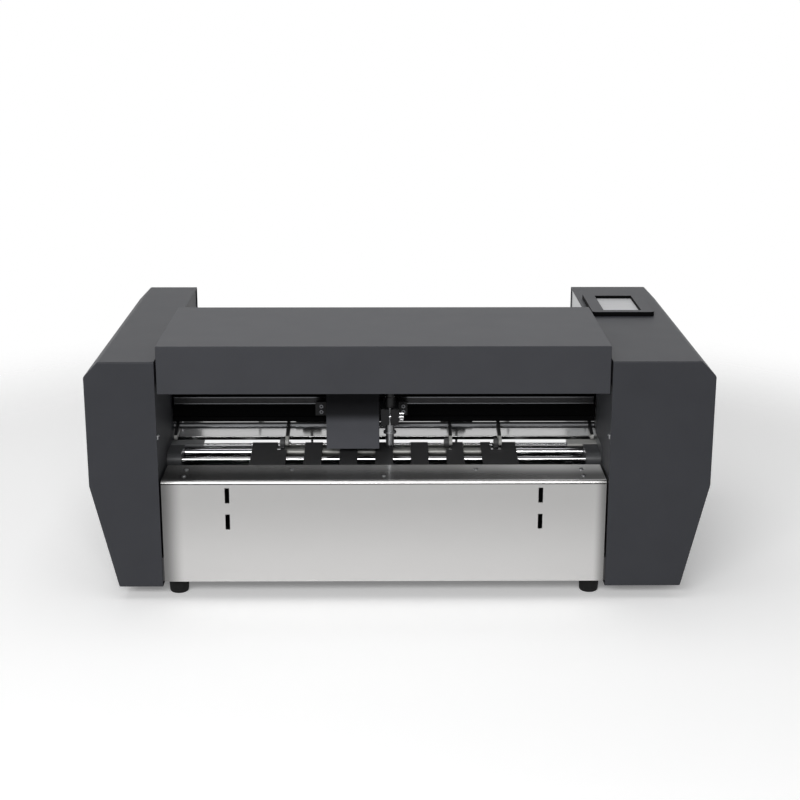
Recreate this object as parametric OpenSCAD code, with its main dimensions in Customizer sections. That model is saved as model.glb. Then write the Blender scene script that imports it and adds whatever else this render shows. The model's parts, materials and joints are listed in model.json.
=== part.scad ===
/* [Body] */
// Width over both side covers
body_w = 736; // [716:1:780]
// Depth of the side covers, front to back
body_d = 430; // [424:1:470]
// Width of the left side cover
left_cover_w = 82.5; // [80:0.5:92]
// Width of the right side cover
right_cover_w = 121; // [118:0.5:132]
// Height of the side cover tops above the floor
cover_top_z = 296.5; // [292:0.5:310]
// Height of the side covers' lower edge above the floor
cover_bottom_z = 17; // [12:0.5:20]
// Thickness of the cover and lid sheet
sheet_t = 2; // [1.5:0.1:2.4]
// Width of the bevel along a side cover's outer top edge
bevel_w = 17.5; // [12:0.5:24]
// Drop of that bevel
bevel_h = 18.3; // [12:0.5:24]
// Height at which a side cover starts to draw in
taper_z = 145; // [120:1:170]
// How far a side cover draws in at its lower edge
taper_w = 30; // [20:0.5:34]
// Height of one cooling slot in the back of a side cover
vent_h = 3; // [2:0.5:5]
// Distance from one cooling slot to the next
vent_pitch = 9; // [8:0.5:12]
// Number of cooling slots in each side cover
vent_count = 8; // [4:1:9]
// Height of the lowest cooling slot
vent_z = 185; // [170:1:190]
// Plain margin beside the cooling slots
vent_margin = 20; // [16:1:24]

/* [Lid] */
// Depth of the lid, front to back
lid_d = 211; // [206:1:216]
// Height of the lid top above the side cover tops
lid_rise = 18.5; // [14:0.5:22]
// Height of the lid's front skirt
lid_skirt_h = 57; // [50:0.5:62]
// Height of the lid's side flanges
lid_flange_h = 50; // [46:0.5:54]
// Height of the lid's rear flange
lid_rear_h = 18; // [12:0.5:20]
// Gap between the lid and each side of the opening
lid_gap = 2.5; // [2:0.1:3.5]
// Distance of the hinge axis from the lid's rear edge
hinge_setback = 13; // [10:0.5:16]
// Depth of the hinge axis below the lid top
hinge_drop = 31; // [28:0.5:36]
// Diameter of the hinge pins
hinge_pin_d = 6; // [5:0.5:8]

/* [Chassis] */
// Thickness of the structural side plates
side_plate_t = 3; // [2.5:0.1:4]
// Thickness of the throat panels
panel_t = 1.5; // [1:0.1:2]
// Depth of the throat panels
panel_d = 126; // [122:0.5:127]
// Thickness of the base pan
pan_t = 2; // [1.5:0.1:3]
// Height of the base pan's upturned edges
pan_edge_h = 30; // [20:1:40]
// Height of the feet
foot_h = 24; // [21:0.5:30]
// Diameter of a foot at the top
foot_top_d = 26; // [22:0.5:30]
// Diameter of a foot at the floor
foot_floor_d = 23; // [18:0.5:26]
// Distance of a foot's centre from the side of the opening
foot_inset_x = 15.5; // [15:0.5:30]
// Distance of a foot's centre from the front or the back
foot_inset_y = 31; // [24:0.5:50]

/* [Apron] */
// Thickness of the apron sheet
apron_t = 1.5; // [1:0.1:2]
// Height of the deck surface above the floor
deck_z = 151; // [149.5:0.1:152]
// Depth of the deck
deck_d = 62; // [58:0.5:64]
// Outer radius of the bend between apron and deck
apron_bend_r = 4; // [3:0.5:6]
// Height of the fold at the rear of the deck
deck_fold_h = 14; // [10:0.5:18]
// Gap between the apron and each side of the opening
apron_gap = 2.5; // [2:0.1:4]
// Width of a tray slot
slot_w = 5.4; // [5:0.1:7]
// Height of a tray slot
slot_h = 19; // [16:0.5:22]
// Distance between the two columns of tray slots
slot_spacing = 372; // [340:1:400]
// Height of the upper slots' centres
slot_upper_z = 133; // [130:0.5:134]
// Height of the lower slots' centres
slot_lower_z = 100; // [80:0.5:105]
// Diameter of a screw head
screw_head_d = 5.5; // [5:0.1:7]
// Height of a screw head
screw_head_h = 1.6; // [1.2:0.1:2.4]
// Diameter of a screw shank
screw_d = 3; // [2.5:0.1:4]
// Length of a screw shank
screw_len = 4.4; // [3.5:0.1:4.4]
// Distance of the outer deck screws from the sides of the opening
deck_screw_inset = 27.75; // [24:0.25:44]
// Distance of the inner deck screws from the middle of the opening
deck_screw_inner = 111; // [90:0.5:120]
// Distance of the front deck screws from the apron
deck_screw_front_y = 18; // [14:0.5:26]
// Distance of the rear deck screws from the apron
deck_screw_back_y = 43; // [38:0.5:50]

/* [Sheet path] */
// Width of the two outer guide plates
wide_plate_w = 44; // [40:0.5:48]
// Width of the inner guide plates
plate_w = 22; // [20:0.5:24]
// Gap between guide plates
plate_gap = 22; // [20:0.5:24]
// Number of inner guide plates
inner_plates = 5; // [3:1:5]
// Thickness of the guide plates
plate_t = 1.2; // [0.8:0.1:1.6]
// Distance of the guide plates' back edge from the front
plate_back_y = 122; // [121:0.5:123]
// How far the guide plates' joggled back edge reaches over the strip
plate_over = 3; // [2:0.5:4]
// Rise of a guide plate from front to back
plate_rise = 7.5; // [6:0.5:8.5]
// Height of the fold at a guide plate's front
plate_fold_h = 10; // [6:0.5:13]
// Width of the notch that lets a pinch roller through
notch_w = 13; // [11.5:0.5:14]
// Diameter of the exit shaft
exit_shaft_d = 8; // [8:0.5:9]
// Distance of the exit shaft from the front
exit_shaft_y = 90; // [86:0.5:91]
// Diameter of the drive shaft
drive_shaft_d = 12; // [11:0.5:13]
// Distance of the drive shaft from the front
drive_shaft_y = 116; // [114:0.5:116]
// Diameter of the shaft journals in their bearings
journal_d = 8; // [6:0.5:8]
// Outer diameter of a shaft bearing
bearing_d = 16; // [14:0.5:17]
// Width of a shaft bearing
bearing_w = 5; // [4:0.5:6]
// Width of the guards over the shaft ends
guard_w = 18; // [14:0.5:22]
// Rounding radius of the guards
guard_r = 9.5; // [8.5:0.5:10]
// Height of the strip behind the drive shaft
strip_z = 158; // [157.5:0.1:158.6]
// Depth of that strip
strip_d = 19; // [15:0.5:21]
// Thickness of that strip
strip_t = 3; // [2:0.5:5]
// Gap from the guide plates to the strip
strip_gap = 2; // [1.5:0.1:3]
// Open slot between the strip and the feed table
table_slot = 15; // [11:0.5:17]
// Thickness of the feed table
table_t = 1.5; // [1:0.1:2]
// Height of the folds at the feed table's edges
table_fold_h = 12; // [8:0.5:16]

/* [Pinch rollers] */
// Pinch roller places, from the middle of the opening
pinch_places = [-127, -22, 78, 140]; // [-160:0.5:160]
// Diameter of a pinch roller
pinch_roller_d = 12; // [11:0.5:12.5]
// Width of a pinch roller
pinch_roller_w = 6; // [5:0.5:8]
// Diameter of the pins the pinch rollers turn on
pinch_pin_d = 4; // [3:0.5:5]
// Thickness of a pinch arm
arm_t = 4; // [3:0.5:5]
// Diameter of the pinch rod
pinch_rod_d = 8; // [7:0.5:9]
// Distance of the pinch rod behind the drive shaft
pinch_reach = 44; // [42:0.5:46]
// Height of the pinch rod above the strip
pinch_rod_rise = 14; // [13:0.5:14.5]
// Reach of the plain arms at the ends of the pinch rod
end_arm_reach = 30; // [24:0.5:32]
// Distance of the plain arms from the sides of the opening
end_arm_inset = 2; // [1.5:0.5:6]

/* [Beam and carriage] */
// Distance of the beam's front face from the front
beam_y = 150; // [149:0.5:151]
// Depth of the beam
beam_d = 35; // [30:0.5:36]
// Height of the beam's underside
beam_z = 180; // [180:0.5:182]
// Height of the beam
beam_h = 70; // [64:0.5:72]
// Wall of the beam
beam_wall = 4; // [3:0.5:6]
// Height of the groove in the beam's face
beam_groove_h = 12; // [8:0.5:13]
// Depth of the groove in the beam's face
beam_groove_d = 3; // [1:0.5:3]
// Height of the rail's middle above the beam's underside
rail_rise = 29.5; // [28.5:0.5:30.5]
// Width of the rail
rail_w = 9; // [8:0.5:10]
// Height of the rail from the beam's face
rail_h = 6.5; // [5.5:0.5:7]
// Place of the carriage, from the middle of the opening
carriage_offset = -38.25; // [-60:0.25:20]
// Length of the bearing block on the rail
block_len = 40; // [30:1:50]
// Height of the bearing block
block_h = 20; // [17:0.5:21]
// Thickness of the bearing block
block_t = 10; // [9:0.5:10.5]
// Width of the carriage cover
carriage_w = 65; // [60:0.5:70]
// Height of the carriage cover
carriage_h = 86; // [80:0.5:88]
// Height of the carriage cover's lower edge above the strip
carriage_rise = 6; // [5:0.5:9]
// Distance of the carriage cover's face from the front
carriage_y = 86; // [82:0.5:87]
// Depth of the carriage cover's side folds
carriage_fold_d = 18; // [12:0.5:19]
// Thickness of the carriage cover sheet
carriage_t = 1.5; // [1:0.1:2]
// Thickness of the carriage bracket
bracket_t = 5; // [4:0.5:5.5]
// Length of the tool solenoid
solenoid_w = 38; // [30:1:44]
// Height of the tool solenoid
solenoid_h = 46; // [40:1:50]
// Depth of the tool solenoid
solenoid_d = 32; // [26:1:34]

/* [Tool] */
// Distance of the blade from the right edge of the carriage cover
tool_gap = 13; // [11.5:0.5:16]
// Distance of the blade from the front
tool_y = 102; // [101:0.5:102.5]
// Lift of the blade tip above the guide plates at rest
tip_lift = 2.5; // [2:0.1:3]
// Diameter of the blade holder
holder_d = 12; // [11:0.5:12.5]
// Length of the blade holder above its collar
holder_h = 44; // [40:1:50]
// Diameter of the blade holder's collar
collar_d = 16; // [14:0.5:16]
// Thickness of the collar
collar_h = 2.5; // [2:0.1:4]
// Diameter of the barrel below the collar
barrel_d = 10; // [8:0.5:10]
// Length of the barrel below the collar
barrel_h = 15; // [13:0.5:16]
// Length of the barrel's nose cone
nose_h = 3.5; // [2.5:0.1:4.5]
// Diameter of the blade's shank
blade_d = 1.5; // [1:0.1:2]
// Length of blade below the nose
blade_out = 2.6; // [2:0.1:3]
// Width of the tool clamp
clamp_w = 22; // [20:0.5:23]
// Height of the tool clamp
clamp_h = 20; // [16:0.5:22]
// Height of the tool clamp above the collar
clamp_rise = 11; // [9:0.5:13]
// Width of the clamp's split
split_w = 2; // [1.5:0.1:3]
// Diameter of the clamp screw
clamp_screw_d = 4; // [3:0.5:5]
// Diameter of the clamp screw's knurled head
clamp_head_d = 9; // [8:0.5:11]
// Length of the clamp screw's knurled head
clamp_head_h = 6; // [5:0.5:7]
// Diameter of the pin that guides the tool clamp
guide_pin_d = 5; // [4:0.5:6]
// Distance of the guide pin behind the blade
guide_pin_back = 16; // [15.5:0.5:16]

/* [Drives] */
// Pitch diameter of the carriage belt's pulleys
belt_pulley_d = 12.74; // [12:0.02:14]
// Width of the belts
belt_w = 6; // [5:0.5:6.5]
// Thickness of the belts
belt_t = 1.4; // [1:0.1:1.6]
// Height of the belt's middle above the rail
belt_rise = 22; // [21:0.5:23]
// Distance of the carriage motor's axis beyond the opening
x_motor_out = 49; // [44:0.5:60]
// Distance of the idler's axis beyond the opening
idler_out = 27; // [25:0.5:32]
// Width across a motor's faces
motor_w = 42; // [39:0.5:42.5]
// Length of a motor
motor_len = 40; // [34:1:44]
// Diameter of the motor shafts and the idler axle
motor_shaft_d = 5; // [4:0.5:6]
// Distance of the feed motor below the exit shaft
feed_motor_drop = 52; // [46:0.5:60]
// Pitch diameter of the pulley on the feed motor
feed_pulley_d = 14; // [12:0.5:16]
// Pitch diameter of the pulley on the drive shaft
drive_pulley_d = 18; // [16.5:0.5:19]
// Pitch diameter of the pulley on the exit shaft
exit_pulley_d = 12; // [11.5:0.5:13]
// Thickness of a pulley's rims
rim_t = 1; // [0.8:0.1:1.5]
// Height of a pulley's rims above its belt seat
rim_h = 2; // [1.6:0.1:2.4]

/* [Feeder] */
// Widest sheet between the sheet guides
sheet_w = 330; // [310:1:340]
// Distance of the pick-up shaft from the front
pickup_y = 240; // [238:0.5:246]
// Diameter of the pick-up shaft
pickup_shaft_d = 8; // [6:0.5:8]
// Diameter of a pick-up roller
pickup_roller_d = 20; // [18:0.5:24]
// Width of a pick-up roller
pickup_roller_w = 24; // [20:1:30]
// Distance between the pick-up rollers
pickup_spacing = 190; // [160:1:210]
// Height of the stack stop
stop_h = 17; // [12:0.5:18]
// Distance of the stack stop from the front
stop_y = 214; // [213:0.5:215]
// Width of the stack stop's two pads on the feed table
stop_pad_w = 42; // [36:0.5:48]
// Height of those pads
stop_pad_h = 8; // [6:0.5:10]
// Width of the necks on the pads
stop_neck_w = 24; // [18:0.5:30]
// Height of those necks
stop_neck_h = 4; // [2:0.5:6]
// Width of the stems that carry the pads
stop_stem_w = 3; // [2:0.5:6]
// Distance between those pads
stop_pad_spacing = 190; // [160:1:210]
// Thickness of the stack stop and the sheet guides
stop_t = 2; // [1.5:0.1:3]
// Length of the sheet guides
guide_len = 152; // [130:1:156]
// Height of the sheet guides
guide_h = 27; // [18:0.5:34]
// Width of the sheet guides' feet
guide_foot_w = 20; // [14:0.5:26]

/* [Electrics] */
// Width of the screen housing
housing_w = 81; // [76:0.5:86]
// Depth of the screen housing
housing_d = 115; // [106:0.5:118]
// Height of the screen housing above the cover
housing_h = 6; // [5.5:0.5:8]
// Distance of the screen housing from the opening
housing_inset = 6; // [5:0.5:10]
// Distance of the screen housing's front edge from the front
housing_y = 237; // [230:0.5:245]
// Width of the display
display_w = 49; // [44:0.5:54]
// Depth of the display
display_d = 90; // [80:0.5:94]
// Depth of the display's face below the housing's
display_sink = 4; // [2:0.1:4.2]
// Thickness of the display
display_t = 2.4; // [2:0.1:2.6]
// Distance of the rear panel's face from the back
rear_inset = 6; // [5.5:0.1:8]
// Distance of the mains inlet from the right side of the opening
inlet_inset = 96.25; // [70:0.25:120]
// Height of the mains inlet
inlet_z = 75; // [66:1:80]
// Width of the inlet's flange
inlet_w = 48; // [44:0.5:56]
// Height of the inlet's flange
inlet_h = 62; // [58:0.5:66]
// Thickness of the inlet's flange
inlet_t = 2; // [1.5:0.1:2.5]
// Width of the plug recess
plug_w = 24; // [22:0.5:26]
// Height of the plug recess
plug_h = 16; // [14:0.5:18]
// Depth of the plug recess
plug_depth = 16; // [13:0.5:18]
// Width of the rocker
rocker_w = 12; // [10:0.5:14]
// Height of the rocker
rocker_h = 17; // [14:0.5:18]
// How far the rocker stands out of its flange
rocker_out = 1.6; // [1:0.1:2]
// Distance of the data port from the mains inlet
port_gap = 60; // [48:1:90]
// Width of the data port's shell
port_w = 12; // [11.5:0.5:14]
// Height of the data port's shell
port_h = 11; // [10.5:0.5:13]
// Wall of the data port's shell
port_wall = 1.6; // [1:0.1:2]
// Depth of the control board
board_d = 130; // [100:1:140]
// Height of the control board
board_h = 140; // [110:1:150]
// Length of the power supply
supply_d = 160; // [140:1:170]
// Height of the power supply
supply_h = 98; // [90:1:104]
// Thickness of the power supply
supply_t = 38; // [30:1:40]

/* [Hidden] */
$fn = 64;

// Clearances between pieces
running_gap = 0.05;
moving_gap = 0.4;
paper_gap = 0.35;
seat_gap = 0.5;
through = 1;

charcoal = "#46474b";
stainless = "#bcbcba";
zinc = "#9a9b9c";
chrome = "#d6d6d8";
black = "#232325";
dark_grey = "#3a3b3d";
rubber = "#1c1c1b";

// The opening between the side covers, and the plates at its ends
left_x = -body_w / 2 + left_cover_w;
right_x = body_w / 2 - right_cover_w;
mid_x = (left_x + right_x) / 2;
left_in = left_x - panel_t;
left_out = left_in - side_plate_t;
right_in = right_x + panel_t;
right_out = right_in + side_plate_t;
span = right_in - left_in;
plate_top_z = cover_top_z - sheet_t;
pan_top_z = foot_h + pan_t;

// The lid and its hinge
lid_x = left_x + lid_gap;
lid_w = right_x - left_x - 2 * lid_gap;
lid_z = cover_top_z + lid_rise;
hinge_y = lid_d - hinge_setback;
hinge_z = lid_z - hinge_drop;
hinge_pin_proud = 2;
hinge_pin_end = lid_gap + sheet_t + hinge_pin_proud;

// The throat panels
panel_lift = 2;
panel_z = deck_z + panel_lift;
panel_cut_y = 66;
panel_cut_rise = 14;
panel_cut_z = strip_z + panel_cut_rise;
panel_cut_r = 14;
panel_screw_y = 6;
panel_screws_z = [204];

// The guide plates: one straight slope from the deck, joggled at the back to lie over the strip
plate_front_y = deck_d;
plate_lip = 0.5;
plate_front_z = strip_z + plate_lip - plate_rise;
plate_slope = plate_rise / (plate_back_y - plate_front_y);
plate_lean = atan(plate_slope);
plates_w = 2 * wide_plate_w + inner_plates * plate_w + (inner_plates + 1) * plate_gap;
function plate_z(y) = plate_front_z + plate_slope * (y - plate_front_y);
function under_plate_z(y, d) = plate_z(y) - (plate_t + moving_gap + d / 2) / cos(plate_lean);
joggle_start_y = plate_back_y - 3;
joggle_end_y = plate_back_y + 1;
plate_end_y = plate_back_y + strip_gap + plate_over;
plate_seat_z = strip_z + seat_gap;
notch_room = 3;
notch_y = drive_shaft_y - pinch_roller_d / 2 - notch_room;

// The shafts under the guide plates
exit_shaft_z = under_plate_z(exit_shaft_y, exit_shaft_d);
drive_shaft_z = under_plate_z(drive_shaft_y, drive_shaft_d);
guard_bore_gap = 1;
shaft_end = 1;

// The strip and the feed table
strip_y = plate_back_y + strip_gap;
table_y = strip_y + strip_d + table_slot;
rear_y = body_d - rear_inset;
table_overhang = 1;
table_back_y = rear_y + table_overhang;

// The pinch rollers, their arms and the rod
pinch_z = drive_shaft_z + drive_shaft_d / 2 + paper_gap + pinch_roller_d / 2;
pinch_rod_y = drive_shaft_y + pinch_reach;
pinch_rod_z = strip_z + pinch_rod_rise;
pinch_rod_end = 2;
arm_tip_r = 3.5;
arm_hub_r = 6;
arm_side = pinch_roller_w / 2 + moving_gap;
arm_lean = atan2(pinch_z - pinch_rod_z, -pinch_reach);

// The beam, the rail and the carriage
rail_z = beam_z + rail_rise;
rail_y = beam_y - rail_h;
carriage_x = mid_x + carriage_offset;
cover_x = carriage_x - carriage_w / 2;
carriage_z = strip_z + carriage_rise;
block_y = beam_y - seat_gap - block_t;
belt_z = rail_z + belt_rise;
belt_air = 1;
belt_y = block_y - belt_air - belt_w;
bracket_y = belt_y - belt_air - bracket_t;
bracket_lift = 6;
bracket_z = beam_z + bracket_lift;
bracket_top_z = carriage_z + carriage_h - carriage_t;
wing_drop = 14.5;
wing_z = rail_z - wing_drop;
wing_h = 17;
wing_out = 15;
wing_screw_d = 5;
wing_screw_h = 2;
solenoid_lift = 4;

// The tool: tip, barrel, collar and holder stacked above the guide plates
tool_x = cover_x + carriage_w + tool_gap;
tip_z = plate_z(tool_y) + tip_lift;
nose_z = tip_z + blade_out;
barrel_z = nose_z + nose_h;
collar_z = barrel_z + barrel_h;
holder_z = collar_z + collar_h;
clamp_z = holder_z + clamp_rise;
clamp_nose = 7;
clamp_front_y = tool_y - holder_d / 2 - clamp_nose;
clamp_back_y = bracket_y - moving_gap;
clamp_screw_y = tool_y - holder_d / 2 - clamp_nose / 2;
clamp_screw_z = clamp_z + clamp_h / 2;
guide_pin_y = tool_y + guide_pin_back;
tab_t = 3;
tab_gap = 3.2;
tab_low_z = clamp_z - tab_gap - tab_t;
tab_high_z = clamp_z + clamp_h + moving_gap;

// The carriage belt and its two pulleys
belt_gap = 0.15;
belt_in_r = belt_pulley_d / 2;
x_pulley_x = right_x + x_motor_out;
idler_x = left_x - idler_out;
x_tab_front = 4;
x_tab_y = beam_y - x_tab_front;
x_tab_t = 3;
window_margin = 3;

// The feed drive: three pulleys in one plane outside the right side plate
pulley_air = 2;
pulley_x = right_out + bearing_w - side_plate_t + pulley_air;
belt_play = 0.5;
pulley_w = belt_w + 2 * (belt_play + rim_t);
feed_motor_y = (exit_shaft_y + drive_shaft_y) / 2;
feed_motor_z = exit_shaft_z - feed_motor_drop;
feed_belt_x = pulley_x + rim_t + belt_play;
pulley_places = [
    [feed_motor_y, feed_motor_z, feed_pulley_d],
    [drive_shaft_y, drive_shaft_z, drive_pulley_d],
    [exit_shaft_y, exit_shaft_z, exit_pulley_d]
];
boss_d = 22;

// The feeder
pickup_lift = 1.5;
pickup_z = strip_z + pickup_roller_d / 2 + pickup_lift;
stop_lift = 28;
stop_z = strip_z + stop_lift;
guide_room = 4;
guide_y = pickup_y + pickup_roller_d / 2 + guide_room;
guide_play = 1;

// The screen housing, the inlet, the port, the board and the supply
housing_x = right_x + housing_inset;
housing_lip = 6;
housing_r = 5;
display_x = housing_x + housing_w / 2;
display_y = housing_y + housing_d / 2;
display_top_z = cover_top_z + housing_h - display_sink;
rear_t = 1.5;
inlet_mid_x = right_x - inlet_inset;
inlet_body_d = 22;
inlet_wall = 2.5;
plug_shift = 1;
plug_mid_z = inlet_z - inlet_h / 4 + plug_shift;
rocker_z = inlet_z + inlet_h / 4;
rocker_gap = 2;
rocker_depth = 4.5;
rocker_pivot_y = rear_y + inlet_t - rocker_depth;
port_mid_x = inlet_mid_x - port_gap;
port_d = 14;
port_proud = 1;
board_y = 272;
board_z = 60;
board_t = 1.6;
board_standoff = 8;
supply_y = 236;
supply_z = 50;

// A profile drawn in y and z, drawn out along x
module along_x(x, len) {
    translate([x, 0, 0]) rotate([90, 0, 90]) linear_extrude(len) children();
}

// A profile drawn in x and z, drawn out along y
module along_y(y, len) {
    translate([0, y + len, 0]) rotate([90, 0, 0]) linear_extrude(len) children();
}

module rod_x(x, len, d, y, z) {
    translate([x, y, z]) rotate([0, 90, 0]) cylinder(d = d, h = len);
}

module rod_y(y, len, d, x, z) {
    translate([x, y + len, z]) rotate([90, 0, 0]) cylinder(d = d, h = len);
}

module rounded_rect(w, d, r) {
    translate([r, 0]) square([w - 2 * r, d]);
    translate([0, r]) square([w, d - 2 * r]);
    for (x = [r, w - r]) for (y = [r, d - r]) translate([x, y]) circle(r);
}

// A closed outline drawn anticlockwise, moved inwards by one wall
function left_of(a, b) = let (u = (b - a) / norm(b - a)) [-u[1], u[0]];
function inset(pts, t) = [
    for (i = [0 : len(pts) - 1])
        let (
            n1 = left_of(pts[(i + len(pts) - 1) % len(pts)], pts[i]),
            n2 = left_of(pts[i], pts[(i + 1) % len(pts)])
        )
        pts[i] + t * (n1 + n2) / (1 + n1 * n2)
];

// A folded side cover, open towards the side plate, at the left of the machine
module cover_shell(width) {
    outer = -body_w / 2;
    inner = outer + width;
    outline = [
        [inner, cover_bottom_z],
        [inner, cover_top_z],
        [outer + bevel_w, cover_top_z],
        [outer, cover_top_z - bevel_h],
        [outer, taper_z],
        [outer + taper_w, cover_bottom_z]
    ];
    difference() {
        along_y(0, body_d) polygon(outline);
        along_y(sheet_t, body_d - 2 * sheet_t) polygon(inset(outline, sheet_t));
        translate([inner - sheet_t - through, sheet_t, cover_bottom_z + sheet_t])
            cube([sheet_t + 2 * through, body_d - 2 * sheet_t, cover_top_z - cover_bottom_z - 2 * sheet_t]);
        for (i = [0 : vent_count - 1])
            translate([outer + vent_margin, body_d - sheet_t - through, vent_z + i * vent_pitch])
                cube([width - 2 * vent_margin, sheet_t + 2 * through, vent_h]);
    }
}

module left_cover() {
    color(charcoal) cover_shell(left_cover_w);
}

module right_cover() {
    color(charcoal) difference() {
        mirror([1, 0, 0]) cover_shell(right_cover_w);
        translate([housing_x + housing_lip, housing_y + housing_lip, cover_top_z - sheet_t - through])
            cube([housing_w - 2 * housing_lip, housing_d - 2 * housing_lip, sheet_t + 2 * through]);
    }
}

module top_cover() {
    color(charcoal) difference() {
        union() {
            translate([lid_x, 0, lid_z - sheet_t]) cube([lid_w, lid_d, sheet_t]);
            translate([lid_x, 0, lid_z - lid_skirt_h]) cube([lid_w, sheet_t, lid_skirt_h]);
            translate([lid_x, lid_d - sheet_t, lid_z - lid_rear_h]) cube([lid_w, sheet_t, lid_rear_h]);
            for (x = [lid_x, lid_x + lid_w - sheet_t])
                translate([x, 0, lid_z - lid_flange_h]) cube([sheet_t, lid_d, lid_flange_h]);
        }
        rod_x(lid_x - through, lid_w + 2 * through, hinge_pin_d + 2 * running_gap, hinge_y, hinge_z);
    }
}

module hinge_pins() {
    pin_len = hinge_pin_end + panel_t + side_plate_t;
    color(zinc) {
        rod_x(left_out, pin_len, hinge_pin_d, hinge_y, hinge_z);
        rod_x(right_out - pin_len, pin_len, hinge_pin_d, hinge_y, hinge_z);
    }
}

module base_pan() {
    edge_d = rear_y - rear_t - sheet_t;
    color(zinc) {
        translate([left_in, sheet_t, foot_h]) cube([span, rear_y - sheet_t, pan_t]);
        translate([left_x, apron_t, foot_h]) cube([right_x - left_x, pan_t, pan_edge_h]);
        for (x = [left_in, right_in - pan_t]) translate([x, sheet_t, foot_h])
            cube([pan_t, edge_d, pan_edge_h]);
    }
}

module feet() {
    color(rubber)
        for (x = [left_x + foot_inset_x, right_x - foot_inset_x])
            for (y = [foot_inset_y, body_d - foot_inset_y])
                translate([x, y, 0]) cylinder(d1 = foot_floor_d, d2 = foot_top_d, h = foot_h);
}

// A side plate's blank with the holes that both sides share
module plate_blank(x) {
    difference() {
        translate([x, sheet_t, foot_h])
            cube([side_plate_t, body_d - 2 * sheet_t, plate_top_z - foot_h]);
        rod_x(x - through, side_plate_t + 2 * through, bearing_d, exit_shaft_y, exit_shaft_z);
        rod_x(x - through, side_plate_t + 2 * through, bearing_d, drive_shaft_y, drive_shaft_z);
        rod_x(x - through, side_plate_t + 2 * through, hinge_pin_d, hinge_y, hinge_z);
        rod_x(x - through, side_plate_t + 2 * through, pinch_rod_d + 2 * running_gap,
            pinch_rod_y, pinch_rod_z);
        translate([x - through, belt_y - window_margin, belt_z - belt_in_r - belt_t - window_margin])
            cube([
                side_plate_t + 2 * through,
                belt_w + 2 * window_margin,
                2 * (belt_in_r + belt_t + window_margin)
            ]);
        rod_x(x - through, side_plate_t + 2 * through, bearing_d, pickup_y, pickup_z);
    }
}

module left_side_plate() {
    tab_h = motor_w / 2;
    tab_end = idler_x - tab_h / 2;
    color(zinc) {
        plate_blank(left_out);
        difference() {
            translate([tab_end, x_tab_y, belt_z - tab_h / 2])
                cube([left_out - tab_end, x_tab_t, tab_h]);
            rod_y(x_tab_y - through, x_tab_t + 2 * through, motor_shaft_d, idler_x, belt_z);
        }
    }
}

module right_side_plate() {
    tab_end = x_pulley_x + motor_w / 2;
    color(zinc) {
        difference() {
            plate_blank(right_in);
            rod_x(right_in - through, side_plate_t + 2 * through, boss_d + 2 * running_gap,
                feed_motor_y, feed_motor_z);
        }
        difference() {
            translate([right_out, x_tab_y, belt_z - motor_w / 2])
                cube([tab_end - right_out, x_tab_t, motor_w]);
            rod_y(x_tab_y - through, x_tab_t + 2 * through, boss_d, x_pulley_x, belt_z);
        }
    }
}

// A throat panel: its lower rear corner is cut away round the shaft ends
module throat_panel(x) {
    color(charcoal) difference() {
        along_x(x, panel_t) difference() {
            translate([sheet_t, panel_z]) square([panel_d - sheet_t, plate_top_z - panel_z]);
            translate([panel_cut_y + panel_cut_r, panel_z - through])
                square([panel_d, panel_cut_z - panel_z + through]);
            translate([panel_cut_y, panel_z - through])
                square([panel_cut_r + through, panel_cut_z - panel_z - panel_cut_r + through]);
            translate([panel_cut_y + panel_cut_r, panel_cut_z - panel_cut_r]) circle(panel_cut_r);
        }
        for (z = panel_screws_z) rod_x(x - through, panel_t + 2 * through, screw_d, panel_screw_y, z);
    }
}

module left_throat_panel() {
    throat_panel(left_in);
}

module right_throat_panel() {
    throat_panel(right_x);
}

function deck_screws() = [
    for (x = [left_x + deck_screw_inset, right_x - deck_screw_inset]) each [
        [x, deck_screw_front_y],
        [x, deck_screw_back_y]
    ],
    [mid_x - deck_screw_inner, deck_screw_back_y],
    [mid_x + deck_screw_inner, deck_screw_back_y],
    [mid_x, deck_screw_front_y]
];

// The apron and the deck, folded from one sheet
module front_apron() {
    color(stainless) difference() {
        along_x(left_x + apron_gap, right_x - left_x - 2 * apron_gap) {
            translate([0, foot_h]) square([apron_t, deck_z - apron_bend_r - foot_h]);
            translate([apron_bend_r, deck_z - apron_t]) square([deck_d - apron_bend_r, apron_t]);
            translate([deck_d - apron_t, deck_z - deck_fold_h]) square([apron_t, deck_fold_h]);
            translate([apron_bend_r, deck_z - apron_bend_r]) intersection() {
                difference() {
                    circle(apron_bend_r);
                    circle(apron_bend_r - apron_t);
                }
                translate([-apron_bend_r, 0]) square(apron_bend_r);
            }
        }
        for (x = [mid_x - slot_spacing / 2, mid_x + slot_spacing / 2])
            for (z = [slot_upper_z, slot_lower_z])
                translate([x - slot_w / 2, -through, z - slot_h / 2])
                    cube([slot_w, apron_t + 2 * through, slot_h]);
        for (p = deck_screws())
            translate([p[0], p[1], deck_z - apron_t - through])
                cylinder(d = screw_d, h = apron_t + 2 * through);
    }
}

// A pan-head screw with a cross recess; its head's underside is at the origin
module screw() {
    recess_w = screw_head_d / 6;
    recess_len = screw_head_d * 0.6;
    difference() {
        cylinder(d = screw_head_d, h = screw_head_h);
        for (a = [0, 90]) rotate([0, 0, a])
            translate([-recess_len / 2, -recess_w / 2, screw_head_h / 2])
                cube([recess_len, recess_w, screw_head_h]);
    }
    translate([0, 0, -screw_len]) cylinder(d = screw_d, h = screw_len);
}

module case_screws() {
    color(chrome) {
        for (p = deck_screws()) translate([p[0], p[1], deck_z]) screw();
        for (z = panel_screws_z) {
            translate([left_x, panel_screw_y, z]) rotate([0, 90, 0]) panel_screw();
            translate([right_x, panel_screw_y, z]) rotate([0, -90, 0]) panel_screw();
        }
    }
}

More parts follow.
